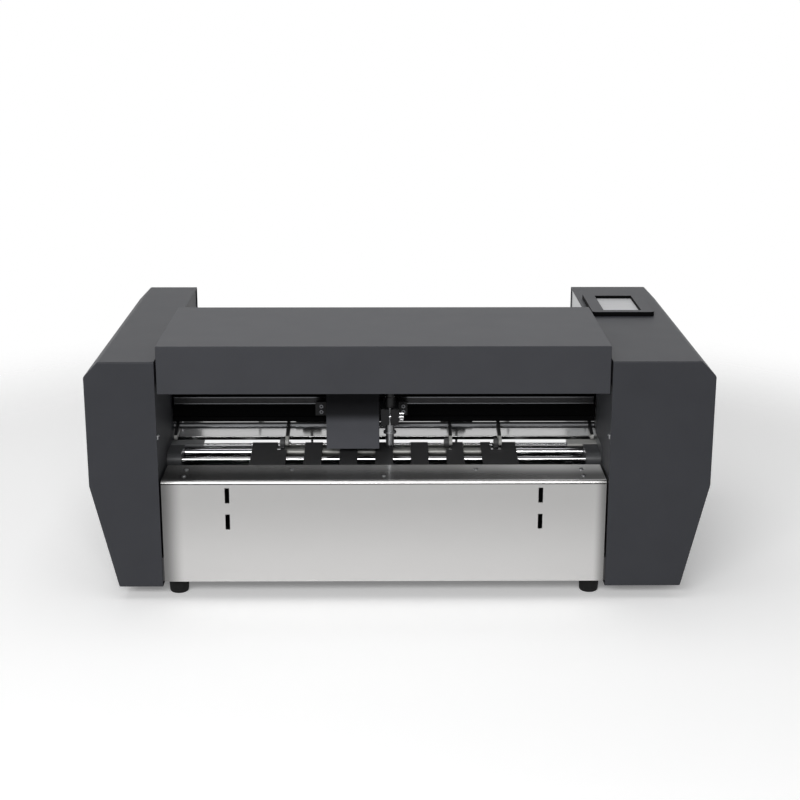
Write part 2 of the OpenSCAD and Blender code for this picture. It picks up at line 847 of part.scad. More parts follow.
// The same screw cut to end in the throat panel
module panel_screw() {
    intersection() {
        screw();
        translate([0, 0, -panel_t]) cylinder(d = 2 * screw_head_d, h = panel_t + screw_head_h);
    }
}

// The guide plates: wide ones outside, narrow ones between them
function plate_widths() = [
    wide_plate_w,
    for (i = [1 : inner_plates]) plate_w,
    wide_plate_w
];
function plate_x(i) = mid_x - plates_w / 2
    + (i == 0 ? 0 : wide_plate_w + plate_gap + (i - 1) * (plate_w + plate_gap));

module guide_plates() {
    widths = plate_widths();
    lip = plate_t / cos(plate_lean);
    color(black) difference() {
        for (i = [0 : len(widths) - 1])
            along_x(plate_x(i), widths[i]) polygon([
                [plate_front_y, plate_front_z - plate_fold_h],
                [plate_front_y + plate_t, plate_front_z - plate_fold_h],
                [plate_front_y + plate_t, plate_z(plate_front_y + plate_t) - lip],
                [joggle_start_y, plate_z(joggle_start_y) - lip],
                [joggle_end_y, plate_seat_z],
                [plate_end_y, plate_seat_z],
                [plate_end_y, plate_seat_z + plate_t],
                [joggle_end_y, plate_seat_z + plate_t],
                [joggle_start_y, plate_z(joggle_start_y)],
                [plate_front_y, plate_front_z]
            ]);
        for (p = pinch_places)
            translate([mid_x + p - notch_w / 2, notch_y, plate_front_z])
                cube([notch_w, plate_end_y - notch_y + through, 2 * plate_rise]);
    }
}

module drive_shaft() {
    color(chrome) {
        rod_x(left_in + seat_gap, span - 2 * seat_gap, drive_shaft_d, drive_shaft_y, drive_shaft_z);
        rod_x(left_in - bearing_w - shaft_end, bearing_w + shaft_end + seat_gap, journal_d,
            drive_shaft_y, drive_shaft_z);
        rod_x(right_in - seat_gap, pulley_x + pulley_w + shaft_end - right_in + seat_gap, journal_d,
            drive_shaft_y, drive_shaft_z);
    }
}

module exit_shaft() {
    color(chrome) {
        rod_x(left_in + seat_gap, span - 2 * seat_gap, exit_shaft_d, exit_shaft_y, exit_shaft_z);
        rod_x(left_in - bearing_w - shaft_end, bearing_w + shaft_end + seat_gap, journal_d,
            exit_shaft_y, exit_shaft_z);
        rod_x(right_in - seat_gap, pulley_x + pulley_w + shaft_end - right_in + seat_gap, journal_d,
            exit_shaft_y, exit_shaft_z);
    }
}

module bearing(x, bore_d, y, z) {
    difference() {
        rod_x(x, bearing_w, bearing_d, y, z);
        rod_x(x - through, bearing_w + 2 * through, bore_d + 2 * running_gap, y, z);
    }
}

module shaft_bearings() {
    color(chrome) {
        for (x = [left_in - bearing_w, right_in]) {
            bearing(x, journal_d, exit_shaft_y, exit_shaft_z);
            bearing(x, journal_d, drive_shaft_y, drive_shaft_z);
        }
        bearing(left_in - bearing_w, pickup_shaft_d, pickup_y, pickup_z);
    }
}

module guard_profile() {
    difference() {
        union() {
            translate([exit_shaft_y, exit_shaft_z]) circle(guard_r);
            translate([drive_shaft_y, drive_shaft_z]) circle(guard_r);
            polygon([
                [exit_shaft_y, exit_shaft_z - guard_r],
                [drive_shaft_y, drive_shaft_z - guard_r],
                [drive_shaft_y, drive_shaft_z + guard_r],
                [exit_shaft_y, exit_shaft_z + guard_r]
            ]);
        }
        translate([exit_shaft_y, exit_shaft_z]) circle(d = exit_shaft_d + 2 * guard_bore_gap);
        translate([drive_shaft_y, drive_shaft_z]) circle(d = drive_shaft_d + 2 * guard_bore_gap);
    }
}

module shaft_end_guards() {
    color(dark_grey) {
        along_x(left_in, guard_w) guard_profile();
        along_x(right_in - guard_w, guard_w) guard_profile();
    }
}

module infeed_strip() {
    color(chrome) translate([left_in, strip_y, strip_z - strip_t]) cube([span, strip_d, strip_t]);
}

// The feed table with a fold at its front and back edges
module feed_table() {
    table_d = table_back_y - table_y;
    color(stainless) {
        translate([left_in, table_y, strip_z - table_t]) cube([span, table_d, table_t]);
        for (y = [table_y, table_back_y - table_t])
            translate([left_in, y, strip_z - table_fold_h]) cube([span, table_t, table_fold_h]);
    }
}

// The stack stop across the feed table, and its two pads that hold back all but the lowest sheet
module stack_stop() {
    pad_z = strip_z + moving_gap;
    color(black) {
        translate([left_in, stop_y, stop_z]) cube([span, stop_t, stop_h]);
        for (s = [-1, 1]) translate([mid_x + s * stop_pad_spacing / 2, stop_y, pad_z]) {
            translate([-stop_pad_w / 2, 0, 0]) cube([stop_pad_w, stop_t, stop_pad_h]);
            translate([-stop_neck_w / 2, 0, 0]) cube([stop_neck_w, stop_t, stop_pad_h + stop_neck_h]);
            translate([-stop_stem_w / 2, 0, 0]) cube([stop_stem_w, stop_t, stop_z - pad_z + through]);
        }
    }
}

// An upright sheet guide with a foot that slides on the feed table
module sheet_guide(side) {
    wall_x = mid_x + side * (sheet_w / 2 + guide_play) - (side < 0 ? stop_t : 0);
    foot_x = side < 0 ? wall_x - guide_foot_w + stop_t : wall_x;
    color(black) {
        translate([wall_x, guide_y, strip_z + moving_gap]) cube([stop_t, guide_len, guide_h]);
        translate([foot_x, guide_y, strip_z + moving_gap]) cube([guide_foot_w, guide_len, stop_t]);
    }
}

module left_sheet_guide() {
    sheet_guide(-1);
}

module right_sheet_guide() {
    sheet_guide(1);
}

module pickup_shaft() {
    shaft_x = left_in - bearing_w - shaft_end;
    color(chrome) rod_x(shaft_x, right_out + motor_len / 2 - shaft_x, pickup_shaft_d, pickup_y, pickup_z);
}

module pickup_rollers() {
    color(rubber)
        for (s = [-1, 1]) {
            x = mid_x + s * pickup_spacing / 2 - pickup_roller_w / 2;
            difference() {
                rod_x(x, pickup_roller_w, pickup_roller_d, pickup_y, pickup_z);
                rod_x(x - through, pickup_roller_w + 2 * through, pickup_shaft_d, pickup_y, pickup_z);
            }
        }
}

// A motor's square case along x, with a bore for the shaft that turns in it
module motor_case_x(x, y, z, shaft_d) {
    difference() {
        translate([x, y - motor_w / 2, z - motor_w / 2]) cube([motor_len, motor_w, motor_w]);
        rod_x(x - through, motor_len + 2 * through, shaft_d + 2 * running_gap, y, z);
    }
}

module pickup_motor() {
    color(black) motor_case_x(right_out, pickup_y, pickup_z, pickup_shaft_d);
}

module feed_motor() {
    color(black) {
        motor_case_x(right_in - motor_len, feed_motor_y, feed_motor_z, motor_shaft_d);
        difference() {
            rod_x(right_in, side_plate_t, boss_d, feed_motor_y, feed_motor_z);
            rod_x(right_in - through, side_plate_t + 2 * through, motor_shaft_d + 2 * running_gap,
                feed_motor_y, feed_motor_z);
        }
    }
}

// A pulley with two rims, turning on x
module pulley_x_axis(y, z, pitch_d, bore_d) {
    seat_d = pitch_d - 2 * belt_gap;
    difference() {
        union() {
            rod_x(pulley_x, pulley_w, seat_d, y, z);
            for (x = [pulley_x, pulley_x + pulley_w - rim_t]) rod_x(x, rim_t, seat_d + 2 * rim_h, y, z);
        }
        rod_x(pulley_x - through, pulley_w + 2 * through, bore_d, y, z);
    }
}

module drive_pulley() {
    color(zinc) pulley_x_axis(drive_shaft_y, drive_shaft_z, drive_pulley_d, journal_d);
}

module exit_pulley() {
    color(zinc) pulley_x_axis(exit_shaft_y, exit_shaft_z, exit_pulley_d, journal_d);
}

// The feed motor's pulley, pressed on the motor's shaft
module feed_motor_pulley() {
    shaft_x = right_in - motor_len / 2;
    color(zinc) {
        pulley_x_axis(feed_motor_y, feed_motor_z, feed_pulley_d, motor_shaft_d);
        rod_x(shaft_x, pulley_x + pulley_w - shaft_x, motor_shaft_d, feed_motor_y, feed_motor_z);
    }
}

module belt_outline(grow) {
    hull() for (p = pulley_places) translate([p[0], p[1]]) circle(d = p[2] + 2 * grow, $fn = 32);
}

module feed_belt() {
    color(black) along_x(feed_belt_x, belt_w) difference() {
        belt_outline(belt_t);
        belt_outline(0);
    }
}

module pinch_rod() {
    rod_len = span + 2 * (side_plate_t + pinch_rod_end);
    color(chrome) rod_x(left_out - pinch_rod_end, rod_len, pinch_rod_d, pinch_rod_y, pinch_rod_z);
}

// A pinch arm's profile: a hub on the rod and a tip at the given reach
module arm_profile(reach) {
    tip_y = pinch_rod_y + reach * cos(arm_lean);
    tip_z = pinch_rod_z + reach * sin(arm_lean);
    side = [-sin(arm_lean), cos(arm_lean)];
    difference() {
        union() {
            translate([tip_y, tip_z]) circle(arm_tip_r);
            translate([pinch_rod_y, pinch_rod_z]) circle(arm_hub_r);
            polygon([
                [tip_y, tip_z] + arm_tip_r * side,
                [tip_y, tip_z] - arm_tip_r * side,
                [pinch_rod_y, pinch_rod_z] - arm_hub_r * side,
                [pinch_rod_y, pinch_rod_z] + arm_hub_r * side
            ]);
        }
        translate([pinch_rod_y, pinch_rod_z]) circle(d = pinch_rod_d);
    }
}

// The arms with their roller pins, and the plain arms at the rod's ends
module pinch_arms() {
    full_reach = norm([pinch_reach, pinch_rod_z - pinch_z]);
    color(zinc) {
        for (p = pinch_places) {
            along_x(mid_x + p + arm_side, arm_t) arm_profile(full_reach);
            rod_x(mid_x + p - arm_side, 2 * arm_side, pinch_pin_d, drive_shaft_y, pinch_z);
        }
        for (x = [left_x + end_arm_inset, right_x - end_arm_inset - arm_t])
            along_x(x, arm_t) arm_profile(end_arm_reach);
    }
}

module pinch_roller(i) {
    x = mid_x + pinch_places[i] - pinch_roller_w / 2;
    color(rubber) difference() {
        rod_x(x, pinch_roller_w, pinch_roller_d, drive_shaft_y, pinch_z);
        rod_x(x - through, pinch_roller_w + 2 * through, pinch_pin_d + 2 * running_gap,
            drive_shaft_y, pinch_z);
    }
}

// The beam: a hollow section with a groove in its face below the rail
module x_beam() {
    groove_lift = 6.5;
    color(black) along_x(left_in, span) difference() {
        translate([beam_y, beam_z]) square([beam_d, beam_h]);
        translate([beam_y - through, beam_z + groove_lift])
            square([beam_groove_d + through, beam_groove_h]);
        translate([beam_y + beam_groove_d + beam_wall, beam_z + beam_wall])
            square([beam_d - beam_groove_d - 2 * beam_wall, beam_h - 2 * beam_wall]);
    }
}

module linear_rail() {
    rail_end = 3;
    color(stainless) translate([left_in + rail_end, rail_y, rail_z - rail_w / 2])
        cube([span - 2 * rail_end, rail_h, rail_w]);
}

module carriage_block() {
    color(stainless) difference() {
        translate([carriage_x - block_len / 2, block_y, rail_z - block_h / 2])
            cube([block_len, block_t, block_h]);
        translate([
            carriage_x - block_len / 2 - through,
            rail_y - moving_gap,
            rail_z - rail_w / 2 - moving_gap
        ]) cube([block_len + 2 * through, block_t, rail_w + 2 * moving_gap]);
    }
}

// The bracket: a plate on the bearing block, belt jaws behind it, wings and the tool's tabs beside it
module carriage_bracket() {
    cover_air = 1;
    back_x = cover_x + carriage_t + cover_air;
    back_w = carriage_w - 2 * (carriage_t + cover_air);
    left_wing_x = cover_x - wing_out;
    right_wing_end = tool_x + clamp_w;
    jaw_w = block_len;
    strand_z = belt_z - belt_in_r - belt_t;
    jaw_h = 3;
    back_d = block_y - bracket_y;
    tab_w = 16;
    tab_margin = 3;
    tab_y = guide_pin_y - guide_pin_d / 2 - tab_margin;
    color(black) difference() {
        union() {
            translate([back_x, bracket_y, bracket_z])
                cube([back_w, bracket_t, bracket_top_z - bracket_z]);
            translate([left_wing_x, bracket_y, wing_z])
                cube([back_x - left_wing_x + through, bracket_t, wing_h]);
            translate([back_x + back_w - through, bracket_y, wing_z])
                cube([right_wing_end - back_x - back_w + through, bracket_t, wing_h]);
            translate([tool_x - tab_w / 2, bracket_y, tab_low_z])
                cube([tab_w, bracket_t, tab_high_z + tab_t - tab_low_z]);
            for (z = [tab_low_z, tab_high_z])
                translate([tool_x - tab_w / 2, tab_y, z])
                    cube([tab_w, bracket_y + through - tab_y, tab_t]);
            translate([carriage_x - jaw_w / 2, bracket_y, rail_z - block_h / 2])
                cube([jaw_w, back_d, block_h / 2]);
            for (z = [strand_z - moving_gap - jaw_h, strand_z + belt_t + moving_gap])
                translate([carriage_x - jaw_w / 2, bracket_y, z]) cube([jaw_w, back_d - belt_air, jaw_h]);
        }
        translate([tool_x, guide_pin_y, tab_low_z - through])
            cylinder(d = guide_pin_d, h = tab_high_z - tab_low_z + tab_t + 2 * through);
    }
    for (x = [left_wing_x + wing_out / 2, right_wing_end - wing_screw_d])
        for (z = [wing_z + wing_screw_d, wing_z + wing_h - wing_screw_d])
            color(chrome) rod_y(bracket_y - wing_screw_h, wing_screw_h + through, wing_screw_d, x, z);
}

// The carriage cover: a face with a fold at each side and a top that reaches the bracket
module carriage_cover() {
    color(charcoal) {
        translate([cover_x, carriage_y, carriage_z]) cube([carriage_w, carriage_t, carriage_h]);
        for (x = [cover_x, cover_x + carriage_w - carriage_t])
            translate([x, carriage_y, carriage_z]) cube([carriage_t, carriage_fold_d, carriage_h]);
        translate([cover_x, carriage_y, bracket_top_z])
            cube([carriage_w, bracket_y + bracket_t - carriage_y, carriage_t]);
    }
}

module tool_solenoid() {
    color(dark_grey)
        translate([carriage_x - solenoid_w / 2, bracket_y - solenoid_d, bracket_z + solenoid_lift])
            cube([solenoid_w, solenoid_d, solenoid_h]);
}

module tool_guide_pin() {
    color(chrome) translate([tool_x, guide_pin_y, tab_low_z])
        cylinder(d = guide_pin_d, h = tab_high_z + tab_t - tab_low_z);
}

// The clamp: split in front of the holder's bore, with a second bore for the guide pin
module tool_clamp() {
    color(stainless) difference() {
        translate([tool_x - clamp_w / 2, clamp_front_y, clamp_z])
            cube([clamp_w, clamp_back_y - clamp_front_y, clamp_h]);
        translate([tool_x, tool_y, clamp_z - through])
            cylinder(d = holder_d, h = clamp_h + 2 * through);
        translate([tool_x, guide_pin_y, clamp_z - through])
            cylinder(d = guide_pin_d + 2 * running_gap, h = clamp_h + 2 * through);
        translate([tool_x - split_w / 2, clamp_front_y - through, clamp_z - through])
            cube([split_w, tool_y - clamp_front_y, clamp_h + 2 * through]);
        rod_x(tool_x - clamp_w, 2 * clamp_w, clamp_screw_d + 2 * running_gap, clamp_screw_y, clamp_screw_z);
    }
}

module clamp_screw() {
    head_x = tool_x + clamp_w / 2 + moving_gap;
    color(chrome) {
        rod_x(head_x, clamp_head_h, clamp_head_d, clamp_screw_y, clamp_screw_z);
        rod_x(tool_x - clamp_w / 2, clamp_w + moving_gap, clamp_screw_d, clamp_screw_y, clamp_screw_z);
    }
}

module blade_holder() {
    nose_d = 4;
    knob_d = holder_d - 2;
    knob_h = 8;
    color(stainless) translate([tool_x, tool_y, 0]) difference() {
        union() {
            translate([0, 0, nose_z]) cylinder(d1 = nose_d, d2 = barrel_d, h = nose_h);
            translate([0, 0, barrel_z]) cylinder(d = barrel_d, h = barrel_h);
            translate([0, 0, collar_z]) cylinder(d = collar_d, h = collar_h);
            translate([0, 0, holder_z]) cylinder(d = holder_d, h = holder_h);
            translate([0, 0, holder_z + holder_h]) cylinder(d = knob_d, h = knob_h);
        }
        translate([0, 0, nose_z - through]) cylinder(d = blade_d, h = nose_h + barrel_h / 2 + through);
    }
}

module blade() {
    tip_h = blade_d;
    color(chrome) translate([tool_x, tool_y, 0]) {
        translate([0, 0, tip_z + tip_h])
            cylinder(d = blade_d, h = nose_z - tip_z - tip_h + nose_h + barrel_h / 2);
        translate([0, 0, tip_z]) cylinder(d1 = 0.2, d2 = blade_d, h = tip_h);
    }
}

module belt_loop(r) {
    translate([idler_x, belt_z - r]) square([x_pulley_x - idler_x, 2 * r]);
    for (x = [idler_x, x_pulley_x]) translate([x, belt_z]) circle(r);
}

module x_belt() {
    color(black) along_y(belt_y, belt_w) difference() {
        belt_loop(belt_in_r + belt_t);
        belt_loop(belt_in_r);
    }
}

// A pulley of the carriage belt, turning on y
module pulley_y_axis(x) {
    seat_d = belt_pulley_d - 2 * belt_gap;
    seat_y = belt_y - seat_gap;
    seat_len = belt_w + 2 * seat_gap;
    rod_y(seat_y, seat_len, seat_d, x, belt_z);
    for (y = [seat_y - rim_t, seat_y + seat_len]) rod_y(y, rim_t, seat_d + 2 * rim_h, x, belt_z);
}

// The drive pulley, pressed on the carriage motor's shaft
module x_drive_pulley() {
    shaft_y = belt_y - seat_gap - rim_t;
    color(zinc) {
        pulley_y_axis(x_pulley_x);
        rod_y(shaft_y, x_tab_y + x_tab_t + motor_len / 2 - shaft_y, motor_shaft_d, x_pulley_x, belt_z);
    }
}

module x_motor() {
    case_y = x_tab_y + x_tab_t;
    color(black) difference() {
        union() {
            translate([x_pulley_x - motor_w / 2, case_y, belt_z - motor_w / 2])
                cube([motor_w, motor_len, motor_w]);
            rod_y(x_tab_y, x_tab_t, boss_d, x_pulley_x, belt_z);
        }
        rod_y(x_tab_y - through, motor_len + x_tab_t + 2 * through, motor_shaft_d + 2 * running_gap,
            x_pulley_x, belt_z);
    }
}

module idler_axle() {
    axle_y = belt_y - seat_gap - rim_t;
    color(chrome) rod_y(axle_y, x_tab_y + x_tab_t - axle_y, motor_shaft_d, idler_x, belt_z);
}

module x_idler_pulley() {
    bore_y = belt_y - seat_gap - rim_t - through;
    color(zinc) difference() {
        pulley_y_axis(idler_x);
        rod_y(bore_y, belt_w + 2 * (seat_gap + rim_t + through), motor_shaft_d + 2 * running_gap,
            idler_x, belt_z);
    }
}

// The rear panel under the feed table, cut out for the inlet and the port
module rear_panel() {
    panel_h = strip_z - table_fold_h - pan_top_z;
    color(zinc) difference() {
        translate([left_in, rear_y - rear_t, pan_top_z]) cube([span, rear_t, panel_h]);
        translate([
            inlet_mid_x - plug_w / 2 - inlet_wall,
            rear_y - rear_t - through,
            inlet_z - inlet_h / 2 + inlet_wall
        ]) cube([plug_w + 2 * inlet_wall, rear_t + 2 * through, inlet_h - 2 * inlet_wall]);
        translate([port_mid_x - port_w / 2, rear_y - rear_t - through, inlet_z - port_h / 2])
            cube([port_w, rear_t + 2 * through, port_h]);
    }
}

// The mains inlet: one moulding with the plug recess below and the rocker's window above
module power_inlet() {
    body_w = plug_w + 2 * inlet_wall;
    window_h = rocker_h + 2 * rocker_gap;
    color(black) difference() {
        union() {
            translate([inlet_mid_x - inlet_w / 2, rear_y, inlet_z - inlet_h / 2])
                cube([inlet_w, inlet_t, inlet_h]);
            translate([inlet_mid_x - body_w / 2, rear_y - inlet_body_d, inlet_z - inlet_h / 2 + inlet_wall])
                cube([body_w, inlet_body_d, inlet_h - 2 * inlet_wall]);
        }
        translate([inlet_mid_x - plug_w / 2, rear_y + inlet_t - plug_depth, plug_mid_z - plug_h / 2])
            cube([plug_w, plug_depth + through, plug_h]);
        translate([
            inlet_mid_x - rocker_w / 2 - moving_gap,
            rear_y + inlet_t - plug_depth,
            rocker_z - window_h / 2
        ]) cube([rocker_w + 2 * moving_gap, plug_depth + through, window_h]);
    }
}

// The rocker and the trunnion it tilts on
module switch_rocker() {
    rocker_d = rear_y + inlet_t + rocker_out - rocker_pivot_y;
    color("#1a1a1c") {
        translate([inlet_mid_x - rocker_w / 2, rocker_pivot_y, rocker_z - rocker_h / 2])
            cube([rocker_w, rocker_d, rocker_h]);
        rod_x(inlet_mid_x - rocker_w / 2, rocker_w, rocker_h / 4, rocker_pivot_y, rocker_z);
    }
}

module usb_port() {
    color(zinc) difference() {
        translate([port_mid_x - port_w / 2, rear_y - port_d, inlet_z - port_h / 2])
            cube([port_w, port_d + port_proud, port_h]);
        translate([
            port_mid_x - port_w / 2 + port_wall,
            rear_y - port_d + port_wall,
            inlet_z - port_h / 2 + port_wall
        ]) cube([port_w - 2 * port_wall, port_d + port_proud, port_h - 2 * port_wall]);
    }
}

// The screen housing: a raised frame on the cover with a shelf under the display
module screen_housing() {
    shelf = 2;
    color(black) difference() {
        union() {
            translate([housing_x, housing_y, cover_top_z]) linear_extrude(housing_h)
                rounded_rect(housing_w, housing_d, housing_r);
            translate([housing_x + housing_lip, housing_y + housing_lip, cover_top_z - sheet_t])
                cube([housing_w - 2 * housing_lip, housing_d - 2 * housing_lip, sheet_t]);
        }
        translate([display_x - display_w / 2, display_y - display_d / 2, display_top_z - display_t])
            cube([display_w, display_d, housing_h + through]);
        translate([
            display_x - display_w / 2 + shelf,
            display_y - display_d / 2 + shelf,
            cover_top_z - sheet_t - through
        ]) cube([display_w - 2 * shelf, display_d - 2 * shelf, housing_h + sheet_t]);
    }
}

module display() {
    color("#c2c3c4")
        translate([display_x - display_w / 2, display_y - display_d / 2, display_top_z - display_t])
            cube([display_w, display_d, display_t]);
}

// The control board on four standoffs, with its larger components
module control_board() {
    board_x = right_out + board_standoff;
    standoff_d = 6;
    corner = 8;
    chip_h = 4;
    can_h = 14;
    can_d = 12;
    color("#1f5a3a") {
        translate([board_x, board_y, board_z]) cube([board_t, board_d, board_h]);
        for (y = [board_y + corner, board_y + board_d - corner])
            for (z = [board_z + corner, board_z + board_h - corner])
                rod_x(right_out, board_standoff, standoff_d, y, z);
        translate([board_x + board_t, board_y + board_d / 2, board_z + board_h / 2])
            cube([chip_h, board_d / 5, board_d / 5]);
        for (i = [1 : 3])
            rod_x(board_x + board_t, can_h, can_d, board_y + i * board_d / 5, board_z + board_h / 5);
    }
}

module power_supply() {
    color(stainless) translate([left_out - supply_t, supply_y, supply_z])
        cube([supply_t, supply_d, supply_h]);
}

// The origin is on the floor, under the middle of the whole machine
module placed() {
    translate([0, -body_d / 2, 0]) children();
}

placed() base_pan();
placed() left_side_plate();
placed() right_side_plate();
placed() left_throat_panel();
placed() right_throat_panel();
placed() front_apron();
placed() feet();
placed() left_cover();
placed() right_cover();
placed() top_cover();
placed() hinge_pins();
placed() x_beam();
placed() linear_rail();
placed() carriage_block();
placed() carriage_bracket();
placed() carriage_cover();
placed() tool_solenoid();
placed() tool_guide_pin();
placed() tool_clamp();
placed() clamp_screw();
placed() blade_holder();
placed() blade();
placed() x_belt();
placed() x_motor();
placed() x_drive_pulley();
placed() idler_axle();
placed() x_idler_pulley();
placed() drive_shaft();
placed() exit_shaft();
placed() shaft_bearings();
placed() shaft_end_guards();
placed() feed_motor();
placed() feed_motor_pulley();
placed() drive_pulley();
placed() exit_pulley();
placed() feed_belt();
placed() pinch_rod();
placed() pinch_arms();
placed() pinch_roller(0);  // pinch_roller_1
placed() pinch_roller(1);  // pinch_roller_2
placed() pinch_roller(2);  // pinch_roller_3
placed() pinch_roller(3);  // pinch_roller_4
placed() guide_plates();
placed() infeed_strip();
placed() feed_table();
placed() stack_stop();
placed() left_sheet_guide();
placed() right_sheet_guide();
placed() pickup_shaft();
placed() pickup_rollers();
placed() pickup_motor();
placed() rear_panel();
placed() power_inlet();
placed() switch_rocker();
placed() usb_port();
placed() screen_housing();
placed() display();
placed() control_board();
placed() power_supply();
placed() case_screws();
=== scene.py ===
import json
import math

import bmesh
import bpy
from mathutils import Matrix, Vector


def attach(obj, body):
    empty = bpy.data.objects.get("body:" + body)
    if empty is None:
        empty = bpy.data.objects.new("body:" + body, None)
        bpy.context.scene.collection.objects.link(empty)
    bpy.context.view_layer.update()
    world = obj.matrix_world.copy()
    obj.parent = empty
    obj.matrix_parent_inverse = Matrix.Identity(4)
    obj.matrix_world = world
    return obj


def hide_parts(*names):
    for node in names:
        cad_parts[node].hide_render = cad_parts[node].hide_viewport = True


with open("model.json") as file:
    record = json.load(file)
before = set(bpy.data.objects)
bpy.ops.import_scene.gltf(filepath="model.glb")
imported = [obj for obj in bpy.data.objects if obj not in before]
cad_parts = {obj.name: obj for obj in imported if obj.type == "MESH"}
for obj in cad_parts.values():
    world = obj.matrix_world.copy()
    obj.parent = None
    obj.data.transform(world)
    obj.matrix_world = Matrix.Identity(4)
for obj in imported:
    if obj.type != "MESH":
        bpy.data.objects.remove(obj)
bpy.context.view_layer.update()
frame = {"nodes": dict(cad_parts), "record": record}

bl_info = {
    "name": "Label cutting machine",
    "version": (1, 0, 0),
    "blender": (4, 5, 0),
    "location": "3D View > Sidebar > Label cutter",
    "description": "Builds the looks of a desktop label cutting machine round its packed parts",
    "category": "Object",
}

MM = 0.001
SAME = 0.001 * MM  # points nearer than this are one
CUT_EDGE = 0.25 * MM  # how far a cut sheet edge is eased
EASED = 0.3 * MM  # how far a machined edge is eased
SHARP = math.radians(28)  # an edge that turns by more is sharp
BUMP_DEPTH = 0.2 * MM
ZERO = (0.0, 0.0, 0.0)
NODES = frame["nodes"]
BEHAVIOUR = frame["record"]["behaviour"]
BODY_OF = {node: body for body, nodes in BEHAVIOUR["bodies"].items() for node in nodes}
FINISHES = {}

# A way to face is an axis, or its complement for the other way along that axis. FACING turns a
# part that stands along z to face each way.
X, Y, Z = 0, 1, 2
TO_LEFT, TO_FRONT = ~X, ~Y
QUARTER = math.pi / 2
FACING = {X: (0.0, QUARTER, 0.0), TO_LEFT: (0.0, -QUARTER, 0.0), Y: (-QUARTER, 0.0, 0.0),
          TO_FRONT: (QUARTER, 0.0, 0.0), Z: ZERO}


# Places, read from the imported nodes

def across(axis):
    """The other two axes."""
    return [i for i in range(3) if i != axis]


class Box:
    """Where a set of points lies: its lowest and highest corner, its middle and its size."""

    def __init__(self, points):
        self.points = list(points)
        self.low = Vector([min(p[i] for p in self.points) for i in range(3)])
        self.high = Vector([max(p[i] for p in self.points) for i in range(3)])
        self.mid = (self.low + self.high) / 2
        self.size = self.high - self.low

    def reach(self, point, axis):
        """How far a point lies from the line along an axis through the middle."""
        return math.hypot(*(point[i] - self.mid[i] for i in across(axis)))

    def radii(self, axis, apart=0.1 * MM):
        """The distinct distances of the points from that line."""
        distinct = []
        for reach in sorted(self.reach(p, axis) for p in self.points):
            if not distinct or reach - distinct[-1] > apart:
                distinct.append(reach)
        return distinct


def box(node):
    """The box of a whole node."""
    return Box([v.co.copy() for v in NODES[node].data.vertices])


def solids(node):
    """The boxes of a node's separate solids, from left to right and front to back."""
    mesh = bmesh.new()
    mesh.from_mesh(NODES[node].data)
    bmesh.ops.remove_doubles(mesh, verts=mesh.verts, dist=SAME)
    left, found = set(mesh.verts), []
    while left:
        group = [left.pop()]
        for vert in group:
            for other in (edge.other_vert(vert) for edge in vert.link_edges):
                if other in left:
                    left.remove(other)
                    group.append(other)
        found.append(Box([v.co.copy() for v in group]))
    mesh.free()
    return sorted(found, key=lambda b: [round(place, 5) for place in b.mid])


# Node trees

def linear(colour):
    """An sRGB hex colour as linear RGBA."""
    parts = [int(colour[i:i + 2], 16) / 255 for i in (1, 3, 5)]
    return (*(c / 12.92 if c <= 0.04045 else ((c + 0.055) / 1.055) ** 2.4 for c in parts), 1.0)


def add(tree, kind, inputs=None, **settings):
    """Adds a node, sets its properties, and sets or links its inputs by name or number."""
    made = tree.nodes.new(kind)
    for key, value in settings.items():
        setattr(made, key, value)
    for key, value in (inputs or {}).items():
        if isinstance(value, bpy.types.NodeSocket):
            tree.links.new(value, made.inputs[key])
        else:
            made.inputs[key].default_value = value
    return made


def new_tree(name, sockets):
    """A geometry tree that takes a part and named inputs, with the sockets that they arrive on."""
    tree = bpy.data.node_groups.new(name, "GeometryNodeTree")
    tree.interface.new_socket("Part", in_out="INPUT", socket_type="NodeSocketGeometry")
    for label, kind in sockets:
        tree.interface.new_socket(label, in_out="INPUT", socket_type="NodeSocket" + kind)
    tree.interface.new_socket("Copies", in_out="OUTPUT", socket_type="NodeSocketGeometry")
    return tree, add(tree, "NodeGroupInput").outputs


def end_tree(tree, copies, material):
    """Makes the copies one mesh in one material and hands it out."""
    one = add(tree, "GeometryNodeRealizeInstances", {0: copies})
    dressed = add(tree, "GeometryNodeSetMaterial", {
        "Geometry": one.outputs[0], "Material": material})
    add(tree, "NodeGroupOutput", {0: dressed.outputs[0]})


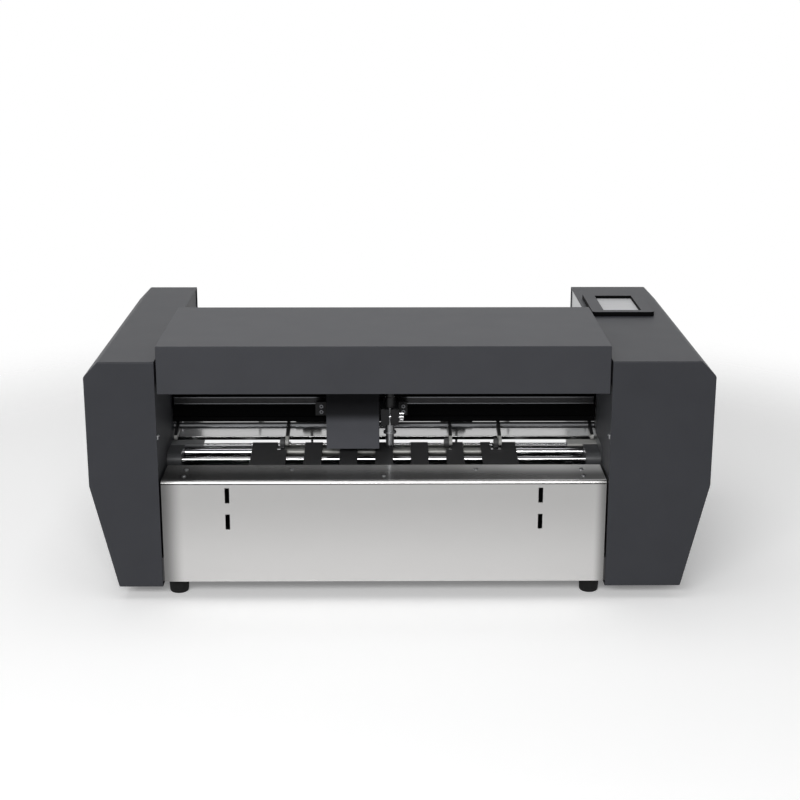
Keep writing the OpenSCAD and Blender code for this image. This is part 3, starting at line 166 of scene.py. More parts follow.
def rows_tree():
    """Rows of a part, all facing one way and each spun by chance on its own axis."""
    tree, given = new_tree("rows_of_parts", (
        ("Count", "Int"), ("Start", "Vector"), ("Step", "Vector"), ("Row count", "Int"),
        ("Row step", "Vector"), ("Facing", "Vector"), ("Spin", "Float"), ("Seed", "Int"),
        ("Material", "Material")))
    row = add(tree, "GeometryNodeMeshLine", {
        "Count": given["Count"], "Start Location": given["Start"], "Offset": given["Step"],
    }, mode="OFFSET")
    starts = add(tree, "GeometryNodeMeshLine", {
        "Count": given["Row count"], "Offset": given["Row step"]}, mode="OFFSET")
    grid = add(tree, "GeometryNodeInstanceOnPoints", {
        "Points": starts.outputs[0], "Instance": row.outputs[0]})
    points = add(tree, "GeometryNodeRealizeInstances", {0: grid.outputs[0]})
    chance = add(tree, "FunctionNodeRandomValue", {
        3: given["Spin"], "Seed": given["Seed"]}, data_type="FLOAT")
    spin = add(tree, "ShaderNodeCombineXYZ", {"Z": chance.outputs[1]})
    turned = add(tree, "FunctionNodeRotateRotation", {
        "Rotation": add(tree, "FunctionNodeEulerToRotation", {0: given["Facing"]}).outputs[0],
        "Rotate By": add(tree, "FunctionNodeEulerToRotation", {0: spin.outputs[0]}).outputs[0],
    }, rotation_space="LOCAL")
    copies = add(tree, "GeometryNodeInstanceOnPoints", {
        "Points": points.outputs[0], "Instance": given["Part"], "Rotation": turned.outputs[0]})
    end_tree(tree, copies.outputs[0], given["Material"])


def ring_tree():
    """A ring of a part, with the part's x axis outward and its z axis along the ring's axis."""
    tree, given = new_tree("ring_of_parts", (
        ("Count", "Int"), ("Radius", "Float"), ("Facing", "Vector"), ("Centre", "Vector"),
        ("Material", "Material")))
    ring = add(tree, "GeometryNodeMeshCircle", {
        "Vertices": given["Count"], "Radius": given["Radius"]})
    outward = add(tree, "FunctionNodeAlignRotationToVector", {
        "Vector": add(tree, "GeometryNodeInputPosition").outputs[0]}, axis="X", pivot_axis="Z")
    copies = add(tree, "GeometryNodeInstanceOnPoints", {
        "Points": ring.outputs[0], "Instance": given["Part"], "Rotation": outward.outputs[0]})
    placed = add(tree, "GeometryNodeTransform", {
        "Geometry": copies.outputs[0], "Translation": given["Centre"],
        "Rotation": add(tree, "FunctionNodeEulerToRotation", {0: given["Facing"]}).outputs[0]})
    end_tree(tree, placed.outputs[0], given["Material"])


def evaluated(mesh, modifier_type, inputs=None, **settings):
    """A mesh with one modifier applied; the mesh given is used up."""
    holder = bpy.data.objects.new("holder", mesh)
    bpy.context.scene.collection.objects.link(holder)
    modifier = holder.modifiers.new("work", modifier_type)
    for key, value in settings.items():
        setattr(modifier, key, value)
    if inputs:
        for item in modifier.node_group.interface.items_tree:
            if item.in_out == "INPUT" and item.name in inputs:
                modifier[item.identifier] = inputs[item.name]
    graph = bpy.context.evaluated_depsgraph_get()
    made = bpy.data.meshes.new_from_object(holder.evaluated_get(graph), depsgraph=graph)
    holder.modifiers.remove(modifier)
    bpy.data.objects.remove(holder)
    bpy.data.meshes.remove(mesh)
    return made


# Shapes

def ease(part, edges, radius, segments):
    """Rounds edges of a part."""
    bmesh.ops.bevel(part, geom=edges, offset=radius, segments=segments, profile=0.5,
                    affect="EDGES", clamp_overlap=True)


class Shape:
    """A mesh in the making: closed solids side by side, each in its own finish.

    A shape that is only cut away or copied needs no finish.
    """

    def __init__(self):
        self.mesh = bmesh.new()
        self.finishes = []

    def slot(self, finish):
        """The number of a finish on this shape."""
        if finish not in self.finishes:
            self.finishes.append(finish)
        return self.finishes.index(finish)

    def take_mesh(self, mesh, finish):
        """Adds a mesh, all in one finish, and uses it up."""
        first = len(self.mesh.faces)
        self.mesh.from_mesh(mesh)
        self.mesh.faces.ensure_lookup_table()
        for face in self.mesh.faces[first:]:
            face.material_index = self.slot(finish)
        bpy.data.meshes.remove(mesh)
        return self

    def take(self, part, finish, edge=0.0, segments=2):
        """Adds a part with its sharp edges eased, and uses it up."""
        if edge:
            sharp = [e for e in part.edges
                     if e.is_manifold and abs(e.calc_face_angle_signed()) > SHARP]
            ease(part, sharp, edge, segments)
        bmesh.ops.recalc_face_normals(part, faces=part.faces)
        mesh = bpy.data.meshes.new("part")
        part.to_mesh(mesh)
        part.free()
        return self.take_mesh(mesh, finish)

    def block(self, low, high, finish=None, edge=EASED):
        """A box between two corners."""
        part = bmesh.new()
        bmesh.ops.create_cube(part, size=1.0)
        for vert in part.verts:
            vert.co = [low[i] if vert.co[i] < 0 else high[i] for i in range(3)]
        return self.take(part, finish, edge)

    def prism(self, outline, axis, low, high, finish=None, edge=EASED):
        """An outline, in the other two axes' coordinates, drawn out along an axis."""
        part = bmesh.new()
        ends = []
        for along in (low, high):
            corners = [list(point) for point in outline]
            for corner in corners:
                corner.insert(axis, along)
            ends.append([part.verts.new(corner) for corner in corners])
        for end in ends:
            part.faces.new(end)
        for i in range(len(outline)):
            part.faces.new((ends[0][i - 1], ends[0][i], ends[1][i], ends[1][i - 1]))
        return self.take(part, finish, edge)

    def turned(self, profile, axis=Z, centre=ZERO, finish=None, ring=False, edge=0.0,
               segments=48):
        """A profile of (along, radius) turned round an axis; a ring's is a closed outline."""
        part = bmesh.new()
        a, b = across(axis)
        rows = []
        for along, radius in profile:
            row = []
            for k in range(segments if radius else 1):
                point = Vector(centre)
                point[axis] += along
                point[a] += radius * math.cos(math.tau * k / segments)
                point[b] += radius * math.sin(math.tau * k / segments)
                row.append(part.verts.new(point))
            rows.append(row)
        for one, two in zip(rows, rows[1:] + rows[:1] if ring else rows[1:]):
            for k in range(segments):
                corners = ((one, k), (one, k + 1), (two, k + 1), (two, k))
                part.faces.new(list(dict.fromkeys(row[j % len(row)] for row, j in corners)))
        return self.take(part, finish, edge)

    def cad(self, node, finish, edge=CUT_EDGE, fold=0.0):
        """A node's own form, its folds rounded to one radius and its cut edges to another."""
        part = bmesh.new()
        part.from_mesh(NODES[node].data)
        bmesh.ops.remove_doubles(part, verts=part.verts, dist=SAME)
        bmesh.ops.dissolve_limit(part, angle_limit=math.radians(0.5), verts=part.verts,
                                 edges=part.edges)
        if fold:
            folds = [
                e for e in part.edges if e.is_manifold and e.calc_face_angle_signed() > SHARP
                and min(2 * f.calc_area() / f.calc_perimeter() for f in e.link_faces) > 2 * fold
            ]
            ease(part, folds, fold, segments=4)
        return self.take(part, finish, edge, segments=3)

    def split(self, axis, *places):
        """Cuts the faces along planes square to an axis, so that each side can be painted."""
        normal = [float(i == axis) for i in range(3)]
        for place in places:
            geom = self.mesh.verts[:] + self.mesh.edges[:] + self.mesh.faces[:]
            bmesh.ops.bisect_plane(self.mesh, geom=geom, dist=SAME, plane_no=normal,
                                   plane_co=[place * part for part in normal])
        return self

    def paint(self, finish, where):
        """Gives a finish to the faces for which where(middle, normal) is true."""
        number = self.slot(finish)
        self.mesh.normal_update()
        for face in self.mesh.faces:
            if where(face.calc_center_median(), face.normal):
                face.material_index = number
        return self

    def data(self):
        """The mesh so far, with no finish; the shape is used up."""
        mesh = bpy.data.meshes.new("part")
        self.mesh.to_mesh(mesh)
        self.mesh.free()
        return mesh

    def cut(self, tool):
        """Takes another shape's form away; the cut faces have this shape's first finish."""
        cutter = bpy.data.objects.new("cutter", tool.data())
        bpy.context.scene.collection.objects.link(cutter)
        mesh = evaluated(self.data(), "BOOLEAN", object=cutter, operation="DIFFERENCE",
                         solver="EXACT")
        self.mesh = bmesh.new()
        self.mesh.from_mesh(mesh)
        bpy.data.meshes.remove(mesh)
        bpy.data.meshes.remove(cutter.data)
        return self

    def spread(self, part, finish, tree, **inputs):
        """Adds copies of a part as a node tree sets them out."""
        named = {key.replace("_", " ").capitalize(): value for key, value in inputs.items()}
        named["Material"] = FINISHES[finish]
        copies = evaluated(part.data(), "NODES", named, node_group=bpy.data.node_groups[tree])
        return self.take_mesh(copies, finish)

    def piece(self, node):
        """Links the shape as the piece that stands for a node and rides on its body."""
        mesh = self.data()
        mesh.name = node + "_look"
        for finish in self.finishes:
            mesh.materials.append(FINISHES[finish])
        mesh.shade_smooth()
        mesh.set_sharp_from_angle(angle=SHARP)
        made = bpy.data.objects.new(node + "_look", mesh)
        bpy.context.scene.collection.objects.link(made)
        made.modifiers.new("even_normals", "WEIGHTED_NORMAL").keep_sharp = True
        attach(made, BODY_OF[node])
        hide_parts(node)


def plain(finish, *nodes, edge=CUT_EDGE, fold=0.0):
    """Builds nodes in their own form and in one finish."""
    for node in nodes:
        Shape().cad(node, finish, edge, fold).piece(node)


def in_rows(count=1, start=ZERO, step=ZERO, row_count=1, row_step=ZERO, facing=Z, spin=0.0,
            seed=0):
    """How Shape.spread sets parts out in rows, which are themselves set out in a row."""
    return dict(tree="rows_of_parts", count=count, start=tuple(start), step=tuple(step),
                row_count=row_count, row_step=tuple(row_step), facing=FACING[facing], spin=spin,
                seed=seed)


def in_ring(count, radius, centre, axis):
    """How Shape.spread sets parts out in a ring."""
    return dict(tree="ring_of_parts", count=count, radius=radius, centre=tuple(centre),
                facing=FACING[axis])


def screw_head(width, height, socket):
    """A screw's head at the origin, facing z, with a cross recess or a hex socket."""
    head = Shape().turned([
        (0, 0), (0, width / 2), (height * 0.45, width / 2), (height * 0.8, width * 0.41),
        (height, width * 0.27), (height, 0)], segments=24)
    if socket == "hex":
        reach = width * 0.26
        outline = [(reach * math.cos(math.tau * k / 6), reach * math.sin(math.tau * k / 6))
                   for k in range(6)]
    else:
        arm, half = width * 0.27, width * 0.07
        outline = [(-half, -arm), (half, -arm), (half, -half), (arm, -half), (arm, half),
                   (half, half), (half, arm), (-half, arm), (-half, half), (-arm, half),
                   (-arm, -half), (-half, -half)]
    return head.cut(Shape().prism(outline, Z, height * 0.5, height * 2, edge=0))


# Finishes

def surface(name, colour, grain, drawn=1, rough=(0.4, 0.5), mottle=0.1, bump=0.0, bump_grain=None,
            **sockets):
    """A finish whose colour and roughness follow one grain, over a finer bump.

    The colour is sRGB hex or linear, and mottle is the share by which it falls and rises. Grain
    sizes are in metres; a drawn grain is that many times longer along x.
    """
    made = bpy.data.materials.new(name)
    made.use_nodes = True
    tree = made.node_tree
    shader = tree.nodes["Principled BSDF"]
    base = linear(colour) if isinstance(colour, str) else colour
    dark, light = ((*(c * share for c in base[:3]), 1.0) for share in (1 - mottle, 1 + mottle))
    place = add(tree, "ShaderNodeTexCoord").outputs["Object"]
    fields = []
    for size in (grain, bump_grain or grain):
        scaled = add(tree, "ShaderNodeMapping", {
            "Vector": place, "Scale": (1 / (size * drawn), 1 / size, 1 / size)})
        fields.append(add(tree, "ShaderNodeTexNoise", {
            "Vector": scaled.outputs[0], "Scale": 1.0, "Detail": 3.0}).outputs["Fac"])
    mixed = add(tree, "ShaderNodeMix", {0: fields[0], 6: dark, 7: light}, data_type="RGBA")
    shine = add(tree, "ShaderNodeMapRange", {
        "Value": fields[0], "To Min": rough[0], "To Max": rough[1]})
    tree.links.new(mixed.outputs[2], shader.inputs["Base Color"])
    tree.links.new(shine.outputs[0], shader.inputs["Roughness"])
    if bump:
        raised = add(tree, "ShaderNodeBump", {
            "Height": fields[1], "Strength": bump, "Distance": BUMP_DEPTH})
        tree.links.new(raised.outputs[0], shader.inputs["Normal"])
    for key, value in sockets.items():
        shader.inputs[key.replace("_", " ")].default_value = value
    FINISHES[name] = made
    return made


def shade(finish, axis, ramps):
    """Darkens or brightens a finish's base colour along an axis: painted shade and painted light.

    Each ramp has a place, its shade there, and the place where it has faded out.
    """
    tree = finish.node_tree
    shader = tree.nodes["Principled BSDF"]
    base = shader.inputs["Base Color"].links[0].from_socket
    place = add(tree, "ShaderNodeTexCoord").outputs["Object"]
    along = add(tree, "ShaderNodeSeparateXYZ", {0: place}).outputs[axis]
    for full_at, share, clear_at in ramps:
        near = add(tree, "ShaderNodeMapRange", {
            "Value": along, "From Min": full_at, "From Max": clear_at, "To Min": share,
            "To Max": 1.0}, interpolation_type="SMOOTHSTEP").outputs[0]
        base = add(tree, "ShaderNodeMix", {0: 1.0, 6: base, 7: near}, data_type="RGBA",
                   blend_type="MULTIPLY").outputs[2]
    tree.links.new(base, shader.inputs["Base Color"])


def brush_along_x(finish):
    """Draws a finish's reflections out square to scratches along x."""
    tree = finish.node_tree
    normal = add(tree, "ShaderNodeNewGeometry").outputs["Normal"]
    square = add(tree, "ShaderNodeVectorMath", {0: normal, 1: (1, 0, 0)},
                 operation="CROSS_PRODUCT")
    tree.links.new(square.outputs[0], tree.nodes["Principled BSDF"].inputs["Tangent"])


def mix_paints(colours):
    """Makes the painted and powder-coated finishes."""
    # Powder coat on sheet steel: matt, with a fine orange-peel, drawn twice as coarse to show
    peel = dict(bump=0.1, bump_grain=1.2 * MM)
    coat = dict(rough=(0.5, 0.58), **peel)
    surface("charcoal_powder_coat", colours.covers, 40 * MM, Specular_IOR_Level=0.18, **coat)
    surface("grey_powder_coat", colours.lid, 40 * MM, Specular_IOR_Level=0.2, **coat)
    surface("dark_powder_coat", colours.throat, 30 * MM, Specular_IOR_Level=0.2, **coat)
    # Dull grey paint on the carriage's cover, with the lid's shadow painted into it, darkening it
    # towards the lid above it
    cover = surface("dull_grey_paint_painted_shadow", colours.carriage, 20 * MM, rough=(0.6, 0.7), mottle=0.08,
                    Specular_IOR_Level=0.05, **peel)
    foot = box("carriage_cover").low.z
    shade(cover, Z, ((foot + 49 * MM, 0.75, foot), (foot + 46 * MM, 0.2, foot + 32 * MM)))
    # Matt black paint on the beam's tube, and satin black paint on steel sheet
    sprayed = dict(bump=0.06, bump_grain=0.8 * MM)
    surface("matt_black_paint", "#080809", 10 * MM, rough=(0.6, 0.7), mottle=0.24,
            Specular_IOR_Level=0.04, **sprayed)
    surface("satin_black_paint", colours.plates, 10 * MM, rough=(0.42, 0.5), mottle=0.13,
            **sprayed)


def mix_metals():
    """Makes the bare and plated metal finishes."""
    # Brushed stainless sheet: long scratches along x, drawn ten times as coarse to show, that pull
    # the reflections into a soft blur. The deck mirrors the dark opening, so it is only half
    # metallic to keep its grey.
    scratch, long = 0.5 * MM, 160
    apron = surface("brushed_stainless", "#d2d1d0", scratch, long, rough=(0.18, 0.26), mottle=0.06,
                    bump=0.05, Metallic=1.0, Anisotropic=0.5)
    deck = surface("brushed_deck_painted_light_and_shade", "#d7d7d6", scratch, long, rough=(0.23, 0.29),
                   mottle=0.05, bump=0.03, Metallic=0.55, Anisotropic=0.93)
    surface("fine_brushed_stainless", "#a7a7a7", scratch, long, rough=(0.12, 0.2), mottle=0.09,
            bump=0.03, Metallic=1.0)
    brush_along_x(apron)
    brush_along_x(deck)
    # Painted shade darkens the apron's ends beside the covers, and the deck under the lid and
    # towards the left; painted reflection brightens the deck towards the right
    sheet = box("front_apron")
    low, high = sheet.low, sheet.high
    shade(apron, X, ((low.x, 0.3, low.x + 26 * MM), (high.x, 0.4, high.x - 14 * MM)))
    shade(deck, X, ((low.x, 0.3, high.x), (high.x - 30 * MM, 1.9, sheet.mid.x + 40 * MM)))
    # A painted highlight runs along the fold between them, with a painted dark reflection under
    # it; painted reflection also darkens the deck towards the fold and the apron towards its top
    fold, line = high.z - 3.4 * MM, 1.8 * MM
    shade(deck, Y, ((low.y + 20 * MM, 0.2, high.y), (low.y + 4 * MM, 5.0, low.y + 7 * MM)))
    shade(apron, Z, ((high.z - 8 * MM, 0.7, 20 * MM), (high.z, 1.4, high.z - 6 * MM),
                     (fold, 0.2, fold + line), (fold - line, 5.0, fold)))
    # Steel from mirror-bright to dull, with faint marks of turning, grinding or drawing, which are
    # drawn millimetres wide to show
    surface("chrome_plate", "#f2f2f3", 4 * MM, 6, rough=(0.05, 0.09), mottle=0.03, Metallic=1.0)
    surface("polished_steel", "#ceced0", 3 * MM, 6, rough=(0.12, 0.2), mottle=0.09, Metallic=1.0)
    surface("ground_steel", "#616265", 3 * MM, 12, rough=(0.2, 0.3), mottle=0.11, Metallic=1.0)
    surface("satin_steel", "#98999b", 1.5 * MM, 20, rough=(0.34, 0.42), mottle=0.13, Metallic=1.0)
    surface("drawn_steel", "#727375", 1.5 * MM, 20, rough=(0.45, 0.55), mottle=0.12, Metallic=1.0)
    # Dark steel for the rail and its plugs: painted shade for the lid's shadow over them
    surface("dark_steel_painted_shade", "#2f2f30", 0.8 * MM, 60, rough=(0.3, 0.4), mottle=0.19,
            Metallic=0.8)
    # Grit sprayed on the drive shaft: a dull, sparkling grain of about 0.4 mm
    surface("gritted_steel", "#82827f", 0.4 * MM, rough=(0.35, 0.55), mottle=0.69, bump=0.6,
            Metallic=0.9)
    # Zinc-plated sheet: a grey bloom in soft clouds
    surface("zinc_sheet", "#a9abac", 7 * MM, rough=(0.3, 0.45), mottle=0.15, Metallic=1.0)
    # Die-cast aluminium: pale and dull, with the skin of its mould
    surface("die_cast_aluminium", "#acadae", 2 * MM, mottle=0.09, bump=0.08, Metallic=1.0)
    # Black anodised extrusion: deep black with drawing lines along x
    surface("black_anodised", "#131315", 0.6 * MM, 200, rough=(0.34, 0.42), mottle=0.21,
            Metallic=0.5)
    # Stacked motor sheets: fine dark lines, 0.5 mm each
    surface("motor_laminations", "#252525", 0.5 * MM, rough=(0.45, 0.55), mottle=0.39, bump=0.2)
    # Tinned pins and shells: soft and slightly yellow
    surface("tinned_copper", "#c2bfb5", 1 * MM, rough=(0.25, 0.35), mottle=0.11, Metallic=1.0)


def mix_plastics(colours):
    """Makes the plastic, rubber and glass finishes."""
    # Moulded plastics, with the fine spark texture of their moulds
    spark = 0.7 * MM
    surface("black_moulded_plastic", "#1c1c1d", 12 * MM, rough=(0.45, 0.55), mottle=0.17, bump=0.1,
            bump_grain=spark)
    surface("dark_moulded_plastic", "#454648", 12 * MM, bump=0.1, bump_grain=spark)
    surface("grey_moulded_plastic", "#6d6e70", 12 * MM, bump=0.1, bump_grain=spark)
    surface("light_moulded_plastic", "#a8a8a5", 8 * MM, mottle=0.07, bump=0.08, bump_grain=spark)
    surface("white_moulded_plastic", "#f0efec", 2 * MM, 20, rough=(0.3, 0.4), mottle=0.04)
    # Rubbers: dry and matt, with a ground face; the belts' is uneven at their 2 mm tooth pitch
    surface("black_rubber", "#111111", 6 * MM, rough=(0.6, 0.75), mottle=0.22, bump=0.15,
            bump_grain=0.9 * MM, Specular_IOR_Level=0.25)
    surface("grey_urethane", "#3e3e3f", 4 * MM, rough=(0.55, 0.65), mottle=0.16, bump=0.1,
            bump_grain=0.6 * MM)
    surface("belt_rubber", "#191919", 2 * MM, rough=(0.6, 0.7), mottle=0.27, bump=0.5)
    # Touch screen, unlit: a pale grey film behind clear glass, with the wipe marks of a cloth
    surface("screen_glass", colours.display, 3 * MM, 12, rough=(0.35, 0.45), mottle=0.14,
            Specular_IOR_Level=0.2)
    # Circuit board: green lacquer over its copper tracks, and dull black chips
    surface("green_solder_mask", "#246b46", 4 * MM, rough=(0.35, 0.5), mottle=0.32, bump=0.1)
    surface("chip_epoxy", "#181819", 2 * MM, rough=(0.5, 0.6), mottle=0.25)


# Sizes and colours that a user would change

def length(name, description, default):
    """A length."""
    return bpy.props.FloatProperty(
        name=name, description=description, default=default, subtype="DISTANCE", unit="LENGTH")


def power(name, description, default):
    """A lamp's power."""
    return bpy.props.FloatProperty(
        name=name, description=description, default=default, subtype="POWER", unit="POWER")


def tint(name, description, default):
    """A colour, given as sRGB hex."""
    return bpy.props.FloatVectorProperty(
        name=name, description=description, default=linear(default), subtype="COLOR", size=4,
        min=0.0, max=1.0)


class LabelCutterColours(bpy.types.PropertyGroup):
    """The colours of the painted sheets and the display."""

    covers: tint("Covers", "Powder coat of the side covers", "#36373b")
    lid: tint("Lid", "Powder coat of the hinged top cover", "#3b3c40")
    throat: tint("Throat", "Powder coat of the panels at the opening's ends", "#3c3d40")
    carriage: tint("Carriage", "Paint of the carriage's cover", "#595a5f")
    plates: tint("Plates", "Paint of the guide plates and the sheet guides", "#313132")
    display: tint("Display", "The unlit display", "#c3c4c6")


class LabelCutterBody(bpy.types.PropertyGroup):
    """The sheet-metal body."""

    fold_radius: length("Fold radius", "Outer radius of the covers' folds", 2.0 * MM)
    cut_edge: length("Cut edge", "How far a cut sheet edge is eased", CUT_EDGE)


class LabelCutterDrives(bpy.types.PropertyGroup):
    """The rail and the pulleys."""

    tooth_pitch: length("Tooth pitch", "Distance between the pulleys' teeth", 2.0 * MM)
    tooth_height: length("Tooth height", "Height of the pulleys' teeth", 0.75 * MM)
    plug_spacing: length("Rail plugs", "Distance between the plugs over the rail's screws",
                         25.0 * MM)


class LabelCutterStage(bpy.types.PropertyGroup):
    """The camera and the lights."""

    lens: bpy.props.FloatProperty(
        name="Lens", description="Focal length of the camera", default=69.5,
        subtype="DISTANCE_CAMERA", unit="CAMERA")
    overhead: power("Overhead", "Power of the lamp over the machine", 16.5)
    front: power("Front", "Power of the lamp over the camera", 48.0)
    rear: power("Rear", "Power of the lamp behind the machine", 6.0)
    throat: power("Throat lamp", "Power of the small lamp under the lid", 0.1)
    fill: bpy.props.FloatProperty(
        name="Fill", description="Strength of the even light from all round", default=0.22,
        min=0.0)


class LabelCutter(bpy.types.PropertyGroup):
    """All settings of the looks."""

    colours: bpy.props.PointerProperty(type=LabelCutterColours)
    body: bpy.props.PointerProperty(type=LabelCutterBody)
    drives: bpy.props.PointerProperty(type=LabelCutterDrives)
    stage: bpy.props.PointerProperty(type=LabelCutterStage)


# Builders

class LABELCUTTER_OT_covers(bpy.types.Operator):
    """Builds the side covers, the hinged top cover, its pins and the throat panels"""

    bl_idname = "labelcutter.covers"
    bl_label = "Covers"

    def execute(self, context):
        body = context.scene.label_cutter.body
        folded = dict(edge=body.cut_edge, fold=body.fold_radius)
        plain("charcoal_powder_coat", "left_cover", "right_cover", **folded)
        plain("grey_powder_coat", "top_cover", **folded)
        plain("dark_powder_coat", "left_throat_panel", "right_throat_panel", edge=body.cut_edge)
        plain("polished_steel", "hinge_pins", edge=0.5 * MM)
        return {"FINISHED"}


class LABELCUTTER_OT_chassis(bpy.types.Operator):
    """Builds the apron with its deck, the pan, the side plates, the rear panel and the feet"""

    bl_idname = "labelcutter.chassis"
    bl_label = "Chassis"

    def execute(self, context):
        edge = context.scene.label_cutter.body.cut_edge
        level = 0.99  # a face that points up by more is part of the deck
        # The apron and its deck carry painted shade, painted reflections and a painted highlight
        # along the fold
        front = Shape().cad("front_apron", "brushed_stainless", edge)
        front.paint("brushed_deck_painted_light_and_shade", lambda mid, out: out.z > level)
        front.piece("front_apron")
        plain("satin_black_paint", "base_pan", edge=edge)
        # Painted dark reflection: the left side plate takes the covers' charcoal where the right
        # one is bare zinc, for the dark side that it mirrors
        plain("charcoal_powder_coat", "left_side_plate", edge=edge)
        plain("zinc_sheet", "right_side_plate", "rear_panel", edge=edge)
        feet = Shape()
        for foot in solids("feet"):
            top, sole, height = foot.size.x / 2, foot.radii(Z)[0], foot.size.z
            rounded = [(0, sole - 2.4 * MM), (0.5 * MM, sole - 1.1 * MM),
                       (1.6 * MM, sole - 0.3 * MM), (3 * MM, sole)]
            flange = [(height * 0.8, top - 0.4 * MM), (height * 0.9, top), (height, top)]
            feet.turned([(0, 0), *rounded, *flange, (height, 0)], Z,
                        (foot.mid.x, foot.mid.y, 0), "black_rubber")
        feet.piece("feet")
        return {"FINISHED"}


class LABELCUTTER_OT_rail(bpy.types.Operator):
    """Builds the cross beam, its linear rail and the bearing block"""

    bl_idname = "labelcutter.rail"
    bl_label = "Beam and rail"

    def execute(self, context):
        plain("matt_black_paint", "x_beam")
        self.rail(context.scene.label_cutter.drives.plug_spacing)
        block = box("carriage_block")
        cap = block.size.x * 0.14
        guide = Shape().cad("carriage_block", "polished_steel", EASED)
        guide.split(X, block.low.x + cap, block.high.x - cap)
        guide.paint("black_moulded_plastic",
                    lambda mid, out: abs(mid.x - block.mid.x) > block.size.x / 2 - cap)
        guide.piece("carriage_block")
        return {"FINISHED"}

    def rail(self, spacing):
        """The rail: waisted, with two ground lands on its face and plugs between them; its dark
        steel is painted shade for the lid's shadow.
        """
        rail = box("linear_rail")
        front, back, low, high = rail.low.y, rail.high.y, rail.low.z, rail.high.z
        groove, waist = 0.9 * MM, front + rail.size.y * 0.45
        land, sunk = 1.1 * MM, front + 0.4 * MM
        outline = [
            (front, low), (waist, low), (waist + groove, low + groove), (back, low + groove),
            (back, high - groove), (waist + groove, high - groove), (waist, high), (front, high),
            (front, high - land), (sunk, high - land), (sunk, low + land), (front, low + land)]
        bar = Shape().prism(outline, X, rail.low.x, rail.high.x, "dark_steel_painted_shade", 0.1 * MM)
        bar.paint("ground_steel", lambda mid, out: mid.y < front + 0.2 * MM)
        plug = Shape().turned([(0, 0), (0, 2.2 * MM), (0.15 * MM, 2.0 * MM), (0.05 * MM, 1.6 * MM),
                               (0.05 * MM, 0)], segments=20)
        count = int(rail.size.x / spacing)
        first = rail.mid.x - (count - 1) * spacing / 2
        bar.spread(plug, "dark_steel_painted_shade", **in_rows(
            count, (first, sunk, rail.mid.z), (spacing, 0, 0), facing=TO_FRONT))
        bar.piece("linear_rail")


class LABELCUTTER_OT_carriage(bpy.types.Operator):
    """Builds the carriage: its cover, the bracket with the wing screws and the solenoid"""

    bl_idname = "labelcutter.carriage"
    bl_label = "Carriage"

    def execute(self, context):
        # The carriage cover's paint has the lid's shadow painted into its upper part
        plain("dull_grey_paint_painted_shadow", "carriage_cover", fold=1.2 * MM)
        self.bracket()
        self.solenoid()
        return {"FINISHED"}

    def bracket(self):
        """The bracket, with two screw heads on each wing beside the cover and the clamp."""
        points = box("carriage_bracket").points
        left, right = box("carriage_cover").low.x, box("tool_clamp").high.x
        plate = Shape().cad("carriage_bracket", "black_anodised")
        head_h, socket_h, sunk = 1.9 * MM, 0.1 * MM, 0.02 * MM
        for wing in ([p for p in points if p.x < left], [p for p in points if p.x > right]):
            front = min(p.y for p in wing)
            heads = Box([p for p in wing if p.y < front + 0.01 * MM])
            reach = heads.size.x / 2
            socket = Shape().turned([(0, 0), (0, reach * 0.55), (socket_h, reach * 0.5),
                                     (socket_h, 0)], segments=6)
            plate.spread(socket, "chip_epoxy", **in_rows(
                2, (heads.mid.x, front + sunk, heads.low.z + reach),
                (0, 0, heads.size.z - 2 * reach), facing=TO_FRONT))
            plate.paint("ground_steel", lambda mid, out: front - SAME < mid.y < front + head_h
                        and heads.low.x < mid.x < heads.high.x)
        plate.piece("carriage_bracket")

    def solenoid(self):
        """The solenoid: a coil on its bobbin in a bent sheet yoke."""
        coil, sheet = box("tool_solenoid"), 2.5 * MM
        low, high = coil.low, coil.high
        form = Shape()
        for bottom, top in ((low.z, low.z + sheet), (high.z - sheet, high.z)):
            form.block((low.x, low.y, bottom), (high.x, high.y, top), "zinc_sheet")
        form.block((low.x, high.y - sheet, low.z + sheet), (high.x, high.y, high.z - sheet),
                   "zinc_sheet")
        rim, half = min(coil.size.x, coil.size.y - sheet) / 2, coil.size.z / 2 - sheet
        inner, wound = half - sheet, rim * 0.9
        form.turned([(-half, 0), (-half, rim), (-inner, rim), (-inner, wound), (inner, wound),
                     (inner, rim), (half, rim), (half, 0)], Z,
                    (coil.mid.x, low.y + rim, coil.mid.z), "dark_moulded_plastic")
        form.piece("tool_solenoid")


